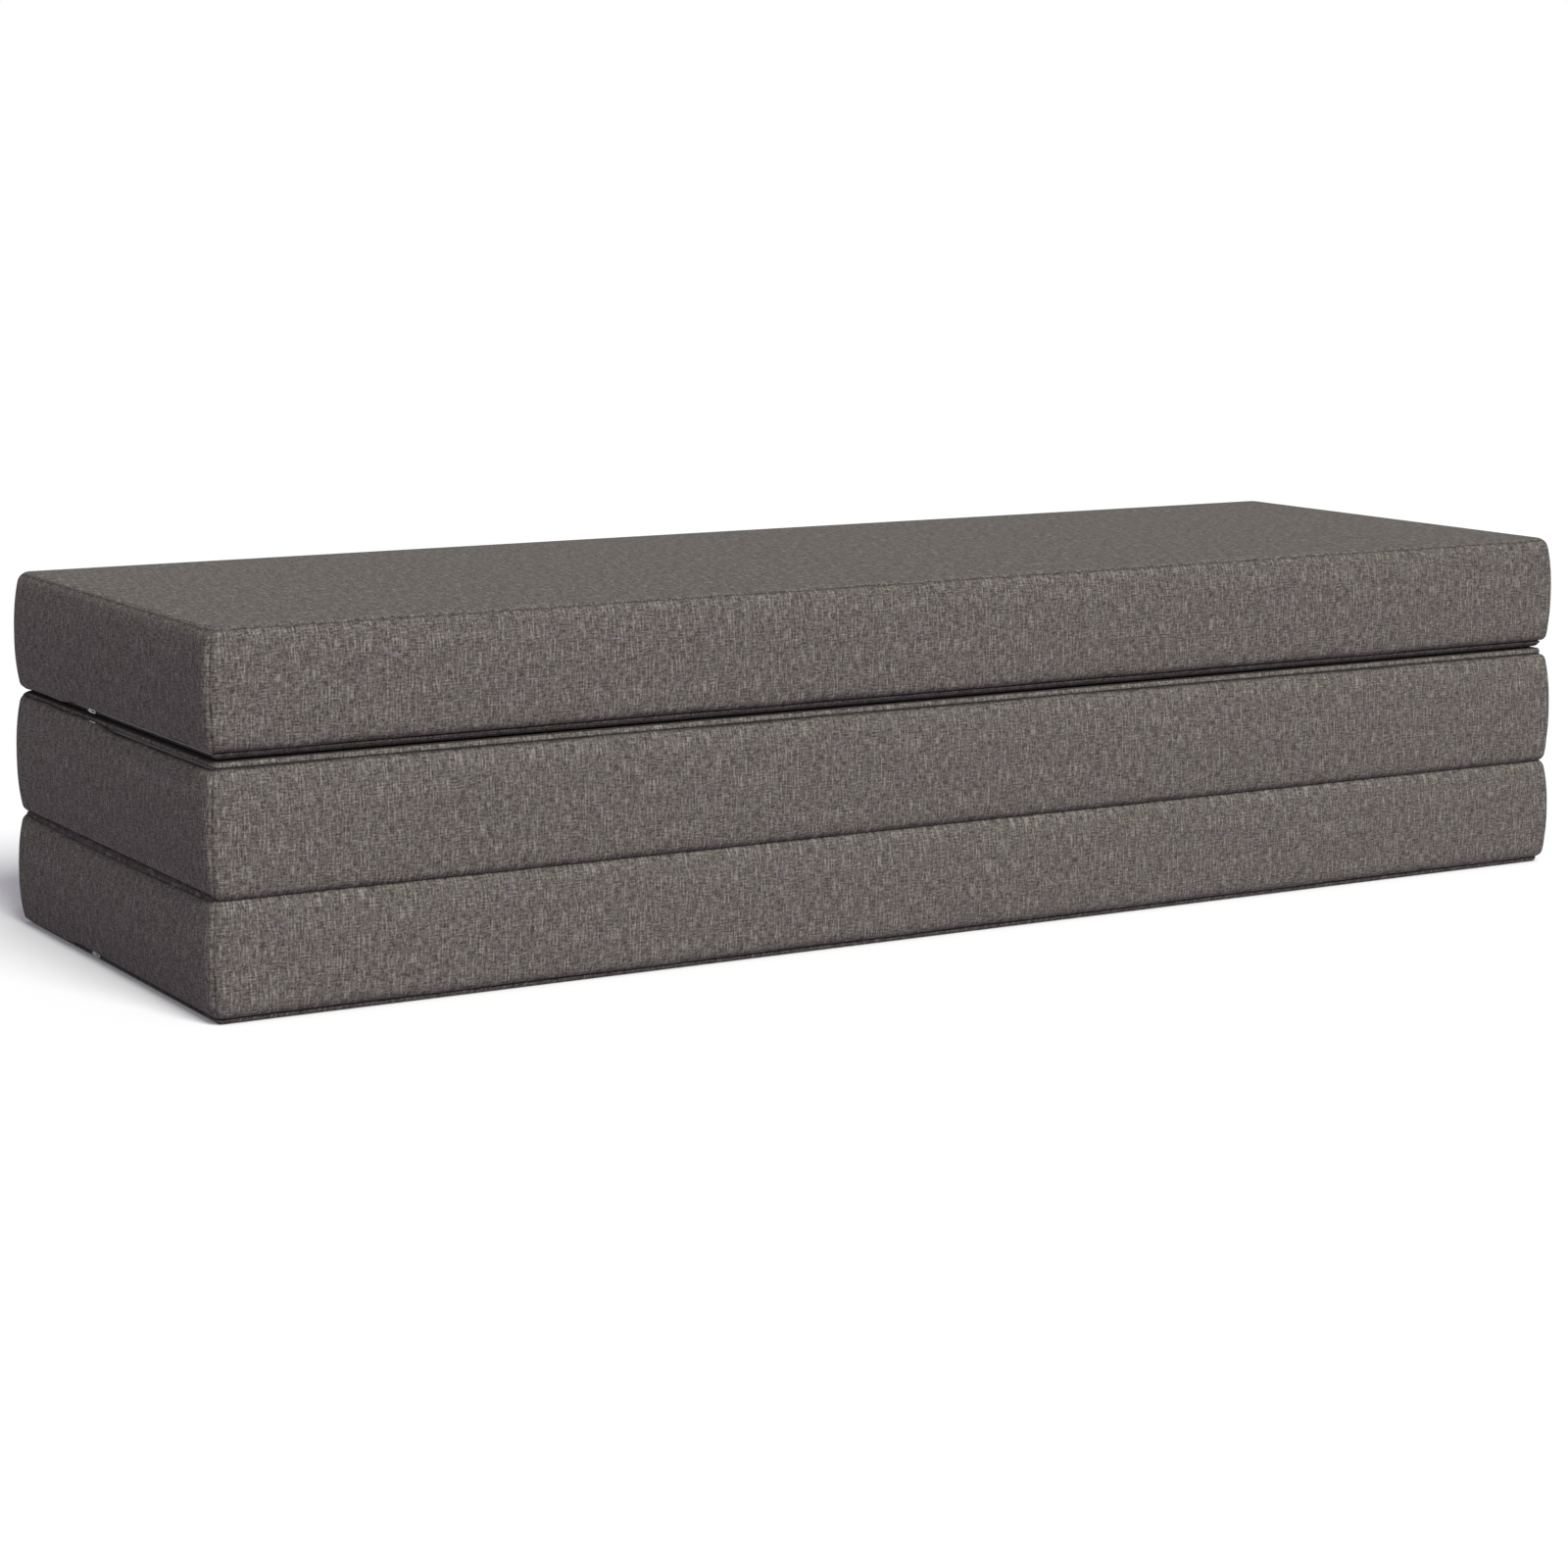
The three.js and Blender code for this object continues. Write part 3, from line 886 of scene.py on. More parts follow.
    def reach(self, height: np.ndarray, line: WallLine, foot: np.ndarray) -> np.ndarray:
        """Gives how far a wall stands out from the seam plane. In the stack, its lower half is the firmer.

        Args:
            height: Heights up the wall.
            line: The line that the wall follows.
            foot: The height at which the wall starts.

        Returns:
            The reach at each height.
        """
        share = np.clip((height - foot) / (line.seam - foot), 0, 1)
        off_middle = np.abs(2 * share - 1)
        power = np.where((share > 0.5) == self.turned, self.firm_power, self.soft_power)
        long_side = smooth_step((line.angle / QUARTER_TURN - self.end_turn) / (1 - self.end_turn))
        swell = long_side * self.bulge * (1 - off_middle ** power)
        swell = swell + (1 - long_side) * self.end_bulge * (1 - off_middle ** self.end_power)
        towards = smooth_step(-np.sin(line.angle) * line.side.value)
        radius = between(self.head_radius, self.front_radius, towards)
        start = radius - np.sqrt(radius ** 2 - (radius - line.ledge) ** 2)
        head = turn_in(radius, line.seam - height + start)
        return swell - turn_in(self.foot_radius, height - foot) - head

    def end_foot(self, across: np.ndarray) -> np.ndarray:
        """Gives the height of an end wall's foot, which hangs down over the strip towards the back.

        Args:
            across: Places across the section.

        Returns:
            The height at each place.
        """
        hung = self.hang * smooth_step((across - self.hang_from) / self.hang_ease)
        loose = smooth_step((self.run_y - np.abs(across)) / self.foot_ease)
        return self.zip_foot - hung + self.foot_wave.at(across, self.phase) * loose

    def wall_shares(self) -> np.ndarray:
        """The rows of a wall as shares of its height, close together at both edges."""
        return ((1 - np.cos(np.linspace(0, math.pi, self.wall_rows))) / 2)[:, None]

    def corner_angles(self) -> np.ndarray:
        """The angles round a corner, close together at the seam halfway."""
        spread = np.linspace(-1, 1, self.corner_steps + 1)
        return QUARTER_TURN / 2 * (1 + np.sign(spread) * np.abs(spread) ** self.corner_crowding)

    def wall_line(self, side: Side) -> WallLine:
        """Lays out a long wall in plan, with both of its corners.

        Args:
            side: The side it stands on.

        Returns:
            The line, with the heights of the wall's foot, edge and seam.
        """
        straight = self.places(self.run_x)[1:-1]
        angles = self.corner_angles()
        angle = np.concatenate([angles, np.full_like(straight, QUARTER_TURN), angles[::-1]])
        edge = np.full_like(angles, self.run_x)
        across = np.concatenate([-edge, straight, edge])
        sign = np.concatenate([-np.ones_like(edge), np.zeros_like(straight), np.ones_like(edge)])
        path = across + sign * self.corner * (QUARTER_TURN - angle)
        sides = np.sin(angle) * side.value
        ease = smooth_step(angle / QUARTER_TURN)
        top = self.edge_height(sides, np.full_like(sides, self.half_depth))
        seam = top + self.crease_below * smooth_step(-sides)
        ledge = self.head_depth + self.crease_depth * smooth_step(-sides)
        if side is Side.BACK:
            foot = between(self.end_foot(np.full_like(path, self.half_depth)), self.plain_foot, ease)
        else:
            foot = between(self.zip_foot, self.lip_foot, ease) + self.lip_wave.at(path, self.phase) * ease
        return WallLine(side, path, across, sign, angle, foot, top, seam, ledge)

    def wall_points(self, line: WallLine, height: np.ndarray) -> tuple[np.ndarray, np.ndarray]:
        """Shapes a long wall at the given heights.

        Args:
            line: The line it follows.
            height: Its heights, by row and column.

        Returns:
            How far it stands out from the seam plane, and the shade painted into its corner seams.
        """
        out = self.reach(height, line, line.foot)
        if line.side is Side.BACK:
            beside = self.reach(height, line, self.end_foot(np.full_like(line.foot, self.half_depth)))
            out = between(beside, out, smooth_step(line.angle / (self.hung_turn * QUARTER_TURN)))
        out = out + self.relief(line.path[None, :], height, line.foot, line.seam)
        from_seam = (line.angle - QUARTER_TURN / 2) * self.corner
        groove = bell(from_seam, self.groove_width)
        lips = bell(np.abs(from_seam) - self.lip_place, self.lip_width)
        out = out - self.seam_groove * groove + self.seam_lip * lips
        # The corner seams' groove also gets shade painted into it.
        return out, self.corner_shade * groove * np.ones_like(height)

    def laid_out(self, line: WallLine, out: np.ndarray, height: np.ndarray) -> np.ndarray:
        """Turns a long wall's reach into points round the section.

        Args:
            line: The line it follows.
            out: How far it stands out from the seam plane.
            height: Its heights.

        Returns:
            The points by row and column.
        """
        x = line.across + line.sign * (self.corner + out) * np.cos(line.angle)
        y = line.side.value * (self.run_y + (self.corner + out) * np.sin(line.angle))
        return np.stack([x, y, height], axis=-1)

    def seam_depth(self, sides: np.ndarray) -> np.ndarray:
        """Gives how much shade is painted into the sleeping seam, from the ends to the long sides."""
        return between(self.end_shade, self.front_shade, smooth_step(np.abs(sides)))

    def edge_shade(
        self, height: np.ndarray, foot: np.ndarray, top: np.ndarray, upper: np.ndarray
    ) -> np.ndarray:
        """Gives how much shade is painted into a wall at its sewn edges.

        Args:
            height: Heights up the wall.
            foot: The height of its foot.
            top: The height of its upper edge.
            upper: How much shade is painted into its upper edge.

        Returns:
            The painted shade, from 0 to 1.
        """
        seam = upper * bell(top - height, self.head_band)
        return seam + self.foot_shade * bell(height - foot, self.foot_band)

    def long_wall(self, side: Side) -> CoverPanel:
        """Shapes a front or back wall with both of its corners.

        Args:
            side: The side it stands on.

        Returns:
            The panel in the section's own frame.
        """
        line = self.wall_line(side)
        height = between(line.foot, line.top, self.wall_shares())
        out, shade = self.wall_points(line, height)
        # Shade is painted into the wall at its corner seams, its sleeping seam and its foot.
        upper = np.where(line.seam > line.top, 0.0, self.seam_depth(np.sin(line.angle)))
        shade = np.maximum(shade, self.edge_shade(height, line.foot, line.top, upper))
        out, height, shade = self.tucked(out, height, shade)
        along = np.broadcast_to(line.path, height.shape)
        onwards = slice(None, None, -side.value)
        return CoverPanel(
            along[:, onwards], height, self.laid_out(line, out, height)[:, onwards], shade[:, onwards],
            fold_rows=(1, self.wall_rows), corner_columns=self.corner_steps,
        )

    def crease_strip(self) -> CoverPanel:
        """Shapes the roll of cloth from the front wall's edge down into the crease, with its turned-in edges.

        Returns:
            The panel in the section's own frame.
        """
        line = self.wall_line(Side.FRONT)
        share = np.linspace(0, 1, self.crease_rows)[:, None]
        low = line.top - self.crease_start
        height = between(low, np.maximum(line.seam, low + self.crease_least), share)
        out, shade = self.wall_points(line, height)
        # Shade is painted into the roll where it meets the crease.
        shade = np.maximum(shade, self.crease_shade * bell(line.seam - height, self.foot_band))
        wide = np.ones_like(out[:1])
        flange = [reach * wide for reach in self.crease_flange]
        out = np.concatenate([*flange, out, out[-1:] - self.strip_tuck])
        level = (self.thickness + self.flange_lift) * wide
        height = np.concatenate([level, level, height, height[-1:]])
        shade = np.concatenate([0 * wide, 0 * wide, shade, shade[-1:]])
        along = np.broadcast_to(line.path, height.shape)
        folds = (1, 2, self.crease_rows + 1)
        return CoverPanel(along, height, self.laid_out(line, out, height), shade, fold_rows=folds)

    def end_wall(self, end: int) -> CoverPanel:
        """Shapes the wall at one end, between its corners.

        Args:
            end: The sign of its x in the section's own frame.

        Returns:
            The panel in the section's own frame.
        """
        path = self.places(self.run_y)
        level = np.zeros_like(path)
        top = self.edge_height(level, path)
        foot = self.end_foot(path)
        ledge = np.full_like(path, self.head_depth)
        line = WallLine(Side.BACK, path, path, level, level, foot, top, top, ledge)
        height = between(foot, top, self.wall_shares())
        edge = smooth_step((self.run_y - np.abs(path)) / self.relief_ease)
        out = self.reach(height, line, foot)
        out = out + self.relief(path[None, :] + self.relief_shift * end, height, foot, top) * edge
        # Shade is painted into the wall at its sleeping seam and its foot.
        shade = self.edge_shade(height, foot, top, self.seam_depth(level))
        out, height, shade = self.tucked(out, height, shade)
        points = np.stack([end * (self.half_length + out), path * np.ones_like(height), height], axis=-1)
        along = np.broadcast_to(path, height.shape)
        onwards = slice(None, None, end)
        folds = (1, self.wall_rows)
        return CoverPanel(along[:, onwards], height, points[:, onwards], shade[:, onwards], fold_rows=folds)

    def relief(self, path: np.ndarray, height: np.ndarray, foot: np.ndarray, seam: np.ndarray) -> np.ndarray:
        """Gives the slight unevenness of a wall: slow swells, and puckers that fade out from its seams.

        Args:
            path: Places along the wall.
            height: Heights up the wall.
            foot: The height of its foot.
            seam: The height of its sleeping seam.

        Returns:
            What it adds to the wall's reach.
        """
        share = (height - foot) / (seam - foot)
        swells = self.swell.at(path + self.swell_lean * height, self.phase) * np.sin(math.pi * share)
        from_seam = np.minimum(seam - height, height - foot)
        puckers = self.pucker.at(path, self.phase) * np.exp(-from_seam / self.pucker_fade)
        return swells + puckers * smooth_step(from_seam / self.pucker_start)

    def tucked(
        self, out: np.ndarray, height: np.ndarray, shade: np.ndarray
    ) -> tuple[np.ndarray, np.ndarray, np.ndarray]:
        """Turns a wall's upper and lower edges in, as sewn edges go.

        Args:
            out: The wall's reach by row and column.
            height: Its heights.
            shade: Its painted shade.

        Returns:
            All three, with a row more at each edge.
        """
        ends = np.concatenate([out[:1] - self.tuck, out, out[-1:] - self.tuck])
        height, shade = (np.concatenate([rows[:1], rows, rows[-1:]]) for rows in (height, shade))
        return ends, height, shade

    def edge_spread(self, low: float, high: float, edge: float) -> np.ndarray:
        """Gives places across a face, close together near its edges.

        Args:
            low: The edge on the negative side.
            high: The edge on the positive side.
            edge: How wide the close rows run from each edge.

        Returns:
            The places, from one edge to the other.
        """
        inner = high - low - 2 * edge
        middle = np.linspace(low + edge, high - edge, int(inner / (self.cell * self.face_cells)) + 1)
        steps = (1 - np.cos(np.linspace(0, QUARTER_TURN, self.edge_rows + 1)[:-1])) * edge
        return np.concatenate([low + steps, middle, (high - steps)[::-1]])

    def plan_radius(self, y: np.ndarray, inset: float) -> np.ndarray:
        """Gives the radius of the face's round corners, which is smaller beside the crease.

        Args:
            y: Places across the section.
            inset: How far the outline lies inside the seam plane.

        Returns:
            The radius at each place.
        """
        beside = np.clip((-y - self.run_y) / self.corner, 0, 1)
        return self.corner - inset - self.crease_depth * np.minimum(1, 2 * beside)

    def outline_depth(self, x: np.ndarray, y: np.ndarray, inset: float) -> np.ndarray:
        """Gives how far inside the rounded outline each spot lies, and nothing outside it.

        Args:
            x: Places along the section.
            y: Places across it.
            inset: How far the outline lies inside the seam plane.

        Returns:
            The depth inside the outline.
        """
        beyond_x = np.abs(x) - self.run_x
        beyond_y = np.abs(y) - self.run_y
        outside = np.hypot(np.maximum(beyond_x, 0), np.maximum(beyond_y, 0))
        depth = self.plan_radius(y, inset) - outside - np.minimum(np.maximum(beyond_x, beyond_y), 0)
        return np.maximum(depth, 0)

    def face_grid(self, inset: float, edge: float) -> tuple[np.ndarray, np.ndarray]:
        """Lays a grid over the section's plan, with its corners drawn onto the round ones.

        Args:
            inset: How far the face's outline lies inside the seam plane.
            edge: How wide the close rows run from each edge.

        Returns:
            The x and y of each point.
        """
        half = self.half_length - inset
        front = self.half_depth - inset - self.crease_depth
        line_x = self.edge_spread(-half, half, edge)
        line_y = self.edge_spread(-front, self.half_depth - inset, edge)
        x, y = np.meshgrid(line_x, line_y)
        radius_x = self.corner - inset
        radius_y = radius_x - self.crease_depth * (y < 0)
        over_x = np.clip((np.abs(x) - self.run_x) / radius_x, 0, 1)
        over_y = np.clip((np.abs(y) - self.run_y) / radius_y, 0, 1)
        both = (over_x > 0) & (over_y > 0)
        round_x = self.run_x + radius_x * over_x * np.sqrt(1 - over_y ** 2 / 2)
        round_y = self.run_y + radius_y * over_y * np.sqrt(1 - over_x ** 2 / 2)
        return np.where(both, np.sign(x) * round_x, x), np.where(both, np.sign(y) * round_y, y)

    def sleeping_panel(self) -> CoverPanel:
        """Shapes the sleeping face: crowned where it is free, with a shoulder down to its seam.

        Returns:
            The panel in the section's own frame.
        """
        x, y = self.face_grid(self.head_depth, self.shoulder)
        depth = self.outline_depth(x, y, self.head_depth)
        towards = np.clip((np.abs(y) - self.run_y) / (self.corner - self.head_depth), 0, 1)
        if self.free:
            height = self.roll_top - turn_in(self.head_radius, self.head_depth + depth)
            dome = (1 - np.abs(x / self.half_length) ** self.crown_power) * (1 - (y / self.half_depth) ** 2)
            height = height + self.crown * np.maximum(dome, 0) * smooth_step(depth / self.crown_ease)
            swell = self.crown_swell.at(x + self.swell_turn * y, self.phase)
            swell = swell * self.cross_swell.at(y + self.swell_shift, self.phase)
            height = height + swell * smooth_step(depth / self.swell_ease)
        else:
            seam = self.edge_height(np.sign(y) * towards, y) + self.seam_slit
            rest = np.clip(1 - depth / self.shoulder, 0, 1)
            height = between(seam, self.roll_top, np.sqrt(1 - rest ** 2))
        # Shade is painted into the face along its seam.
        shade = self.seam_depth(towards) * bell(depth, self.face_band)
        return CoverPanel(x, y, np.stack([x, y, height], axis=-1), shade)

    def under_panel(self) -> CoverPanel:
        """Shapes the under panel, which turns up at its edge to meet the border strip.

        Returns:
            The panel in the section's own frame.
        """
        inset = self.strip_inset + self.strip_slant - self.under_overlap
        turned_up = self.under_width * self.under_lift
        x, y = self.face_grid(inset, turned_up)
        depth = self.outline_depth(x, y, inset)
        rest = np.clip(1 - depth / turned_up, 0, 1)
        height = self.under_rest + (self.under_lift - self.under_room) * (1 - np.sqrt(1 - rest ** 2))
        # Shade is painted into the panel along its seam with the strip.
        shade = self.under_shade * bell(depth, self.face_band)
        return CoverPanel(x, y, np.stack([x, y, height], axis=-1)[:, ::-1], shade[:, ::-1])

    def border_strip(self) -> CoverPanel:
        """Shapes the strip between the under panel and the zip, round three sides.

        Returns:
            The panel in the section's own frame.
        """
        ends = -self.places(self.run_y)[:-1]
        middle = self.places(self.run_x)[1:-1]
        turn = np.linspace(0, QUARTER_TURN, self.strip_turn_steps)
        still = np.zeros_like(ends)
        angle = np.concatenate([still, turn, np.full_like(middle, QUARTER_TURN), turn[::-1], still])
        side = np.full(len(still) + len(turn), self.run_x)
        centre_x = np.concatenate([-side, middle, side])
        centre_y = np.concatenate([ends, np.full(2 * len(turn) + len(middle), -self.run_y), ends[::-1]])
        outward = np.concatenate([-np.ones_like(side), np.zeros_like(middle), np.ones_like(side)])
        share = np.array(self.strip_shares)[:, None]
        lip = smooth_step((share - self.strip_lip_from) / (1 - self.strip_lip_from))
        slant = self.strip_slant * (1 - share) ** 2 + self.strip_lip * lip
        edge_row = (np.arange(len(share)) % (len(share) - 1) == 0)[:, None]
        out = -self.strip_inset - slant - self.strip_tuck * edge_row
        upper = between(self.zip_strip, self.lip_foot - self.strip_gap, smooth_step(np.sin(angle)))
        height = between(self.under_lift, upper, share)
        x = centre_x + outward * (self.corner + out) * np.cos(angle)
        y = centre_y - (self.corner + out) * np.sin(angle)
        steps = np.hypot(np.diff(centre_x), np.diff(centre_y)) + self.corner * np.abs(np.diff(angle))
        path = np.broadcast_to(np.concatenate([[0], np.cumsum(steps)]), height.shape)
        # Shade is painted into the strip along its upper edge.
        shade = self.foot_shade * bell(upper - height, self.strip_band)
        return CoverPanel(path, height, np.stack([x, y, height], axis=-1), shade)

    def shape(self) -> list[tuple[CoverPanel, float]]:
        """Shapes every panel of the cover.

        Returns:
            The padded panels, with how far the cloth may still fill each one out.
        """
        self.panels = {
            "sleeping_panel": self.sleeping_panel(),
            "under_panel": self.under_panel(),
            "front_wall": self.long_wall(Side.FRONT),
            "back_wall": self.long_wall(Side.BACK),
            "left_wall": self.end_wall(self.left),
            "right_wall": self.end_wall(-self.left),
            "border_strip": self.border_strip(),
        }
        for node, panel in self.panels.items():
            panel.name = f"{self.name}_{node}_cloth"
        walls = [(panel, self.cloth_room) for node, panel in self.panels.items() if node.endswith("_wall")]
        return walls + ([(self.panels["sleeping_panel"], self.crown_room)] if self.free else [])

    def sewn(self, panel: CoverPanel, slot: Slot, number: int, finishes: Finishes) -> bpy.types.Object:
        """Builds a panel in its place, with the cloth's thickness and its finish.

        Args:
            panel: The panel.
            slot: The slot it takes its finish from.
            number: Its number in the section, by which its weave is shifted.
            finishes: The materials.

        Returns:
            The piece.
        """
        piece = panel.build(self.weave_step * number + self.phase)
        piece.data.transform(self.placed)
        skin = piece.modifiers.new("cloth thickness", "SOLIDIFY")
        skin.thickness = self.cloth
        skin.offset = -1.0
        finishes.dress(piece, slot)
        return piece

    def build(self, finishes: Finishes) -> None:
        """Builds every piece of the section. A wall beside a fold gets a mesh of its own.

        Args:
            finishes: The materials.
        """
        FoamCore(self).build(finishes)
        for number, (node, panel) in enumerate(self.panels.items()):
            slot = Slot.UNDER if node == "under_panel" else Slot.COVER
            piece = self.sewn(panel, slot, number, finishes)
            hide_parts(f"{self.name}_{node}")
            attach(piece, self.name)
            for side, joint in self.folds.items():
                if node == f"{side.name.lower()}_wall":
                    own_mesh(piece)
        finishes.dress(bpy.data.objects[f"{self.name}_zip_chain"], Slot.NYLON)
        ZipRunner(self).build(finishes)

    def add_crease(self, lower: str, joint: str, finishes: Finishes) -> None:
        """Builds the roll of cloth in the crease, from the section below to this one.

        Its corners are pieces of their own, which stay with the section below: they lie behind the line that
        the sections fold on, so a blend would raise them.

        Args:
            lower: The section below.
            joint: The fold's name, which its hinge piece is named for.
            finishes: The materials.
        """
        strip = self.crease_strip()
        last = strip.points.shape[1] - 1
        turned = int(np.searchsorted(self.corner_angles(), self.crease_turn))
        number = list(self.panels).index("front_wall")
        parts = (
            ("roll", 0, turned, last - turned),
            ("right_corner", 1, 0, turned),
            ("left_corner", 1, last - turned, last),
        )
        for part, row, first, final in parts:
            panel = strip.cut(f"{joint}_hinge_{part}", row, first, final)
            piece = self.sewn(panel, Slot.COVER, number, finishes)
            if part == "roll":
                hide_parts(f"{joint}_hinge")
                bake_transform(piece)
            else:
                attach(piece, lower)


@dataclass
class FoamCore:
    """The two foam blocks inside a section's cover: the support block, and the comfort layer on it."""

    section: Section
    inset: float = 10.5 * MM
    underside: float = 2.5 * MM
    join: float = 104 * MM
    join_gap: float = 0.3 * MM
    top_room: float = 4 * MM
    corner: tuple[float, int] = (10 * MM, 5)
    rim: tuple[float, int] = (4 * MM, 3)

    def build(self, finishes: Finishes) -> None:
        """Builds both blocks and lets them ride on the section's body.

        Args:
            finishes: The materials.
        """
        section = self.section
        blocks = (
            ("support_foam", self.underside, self.join, Slot.SUPPORT),
            ("comfort_foam", self.join + self.join_gap, section.thickness - self.top_room, Slot.COMFORT),
        )
        for node, low, high, slot in blocks:
            size = (section.length - 2 * self.inset, section.depth - 2 * self.inset, high - low)
            bm = rounded_block(size, (0, 0, (low + high) / 2), 2, self.corner, self.rim)
            piece = add_piece(f"{section.name}_{node}_block", bm)
            piece.data.transform(section.placed)
            finishes.dress(piece, slot)
            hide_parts(f"{section.name}_{node}")
            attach(piece, section.name)


@dataclass
class ZipRunner:
    """The zip's slider and the ring that pulls it, on the coil at the section's left end in the stack."""

    section: Section
    place_y: float = 76 * MM
    place_z: float = 7.2 * MM
    back_reach: float = -6.2 * MM
    body: tuple[float, float, float] = (1.3 * MM, 8.4 * MM, 4.0 * MM)
    corner: tuple[float, int] = (1.3 * MM, 3)
    rim: tuple[float, int] = (0.25 * MM, 2)
    bridge_radius: float = 2.5 * MM
    bridge_sunk: float = 0.3 * MM
    pivot_reach: float = -3.9 * MM
    wire: float = 0.6 * MM
    wire_sides: int = 10
    arch_steps: int = 18
    ring_radius: float = 1.55 * MM
    ring_length: float = 22 * MM

    def build(self, finishes: Finishes) -> None:
        """Builds both pieces and lets each ride on its own body.

        Args:
            finishes: The materials.
        """
        name = self.section.name
        for part, form, bm in (("slider", "body", self.slider()), ("pull", "ring", self.pull())):
            bmesh.ops.recalc_face_normals(bm, faces=bm.faces)
            piece = add_piece(f"{name}_zip_{part}_{form}", bm)
            piece.data.shade_smooth()
            piece.data.transform(self.section.placed)
            finishes.dress(piece, Slot.METAL)
            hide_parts(f"{name}_zip_{part}")
            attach(piece, f"{name}_{part}")

    def seat(self, reach: float) -> Matrix:
        """Gives the place of the zip's runner, with x pointing out of the end wall.

        Args:
            reach: How far out from the end seam it lies.

        Returns:
            The turn and move into the section's own frame.
        """
        end = self.section.left
        spot = (end * (self.section.half_length + reach), self.place_y, self.place_z)
        return Matrix.Translation(spot) @ Matrix.Rotation(0 if end > 0 else math.pi, 4, "Z")

    def slider(self) -> bmesh.types.BMesh:
        """Shapes the slider: a rounded plate on the coil, with a bridge for the ring.

        Returns:
            The slider in the section's own frame.
        """
        bm = rounded_block(self.body, (0, 0, 0), 0, self.corner, self.rim)
        plate = set(bm.verts)
        self.arch(bm, self.bridge_radius, math.pi, (0, 0, 1), (0, -1, 0))
        bridge = [v for v in bm.verts if v not in plate]
        bmesh.ops.translate(bm, vec=(self.body[0] / 2 - self.bridge_sunk, 0, 0), verts=bridge)
        bmesh.ops.transform(bm, matrix=self.seat(self.back_reach + self.body[0] / 2), verts=bm.verts)
        return bm

    def arch(
        self, bm: bmesh.types.BMesh, radius: float, angle: float, axis: tuple[int, int, int],
        start: tuple[int, int, int],
    ) -> None:
        """Spins the wire's round section about an axis through the origin.

        Args:
            bm: The mesh it goes into.
            radius: The radius of the wire's middle line.
            angle: How far it is spun, a full turn being closed.
            axis: The axis, along x, y or z.
            start: The direction from the axis to the wire's start.
        """
        across = Vector(axis).cross(Vector(start))
        turn = Matrix((Vector(start), Vector(axis), across)).transposed().to_4x4()
        place = Matrix.Translation(radius * Vector(start)) @ turn
        made = bmesh.ops.create_circle(
            bm, cap_ends=False, radius=self.wire, segments=self.wire_sides, matrix=place
        )
        edges = list({e for v in made["verts"] for e in v.link_edges})
        bmesh.ops.spin(
            bm, geom=made["verts"] + edges, cent=(0, 0, 0), axis=axis, angle=angle, steps=self.arch_steps,
            use_merge=angle == FULL_TURN, use_duplicate=False,
        )

    def pull(self) -> bmesh.types.BMesh:
        """Shapes the pull: a ring of wire, drawn out long, that lies forwards along the strip.

        Returns:
            The ring in the section's own frame.
        """
        bm = bmesh.new()
        self.arch(bm, self.ring_radius, FULL_TURN, (1, 0, 0), (0, 0, 1))
        drawn = self.ring_length - 2 * (self.ring_radius + self.wire)
        forwards = -self.section.left
        far_half = [v for v in bm.verts if forwards * v.co.y > TINY]
        bmesh.ops.translate(bm, vec=(0, forwards * drawn, 0), verts=far_half)
        bmesh.ops.translate(bm, vec=(0, forwards * self.ring_radius, 0), verts=bm.verts)
        bmesh.ops.transform(bm, matrix=self.seat(self.pivot_reach), verts=bm.verts)
        return bm


@dataclass
class FoldGusset:
    """The strip of cover cloth that joins two sections along the line they fold on."""

    name: str
    lower: Section
    upper: Section
    side: Side
    low_edge: float
    high_edge: float
    edge_reach: float
    fold_reach: float
    rows: int = 9
    # The shade painted evenly over the gusset, which lies in the fold.
    shade: float = 0.3
    weave_shift: float = 9.3
    blend_room: float = 0.1 * MM

    def build(self, finishes: Finishes) -> None:
        """Builds the gusset, folded in between the two sections.

        Args:
            finishes: The materials.
        """
        section = self.lower
        path = section.places(section.run_x)
        share = np.linspace(0, 1, self.rows)[:, None]
        reach = between(self.edge_reach, self.fold_reach, np.sin(math.pi * share))
        height = between(self.low_edge, self.high_edge, share)
        y = self.side.value * (section.half_depth + reach)
        grid = np.ones((len(share), len(path)))
        points = np.stack([path * grid, y * grid, height * grid], axis=-1)[:, ::-self.side.value]
        panel = CoverPanel(path * grid, height * grid, points, self.shade * grid, name=f"{self.name}_cloth")
        piece = panel.build(self.weave_shift)
        finishes.dress(piece, Slot.COVER)
        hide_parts(self.name)
        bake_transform(piece)


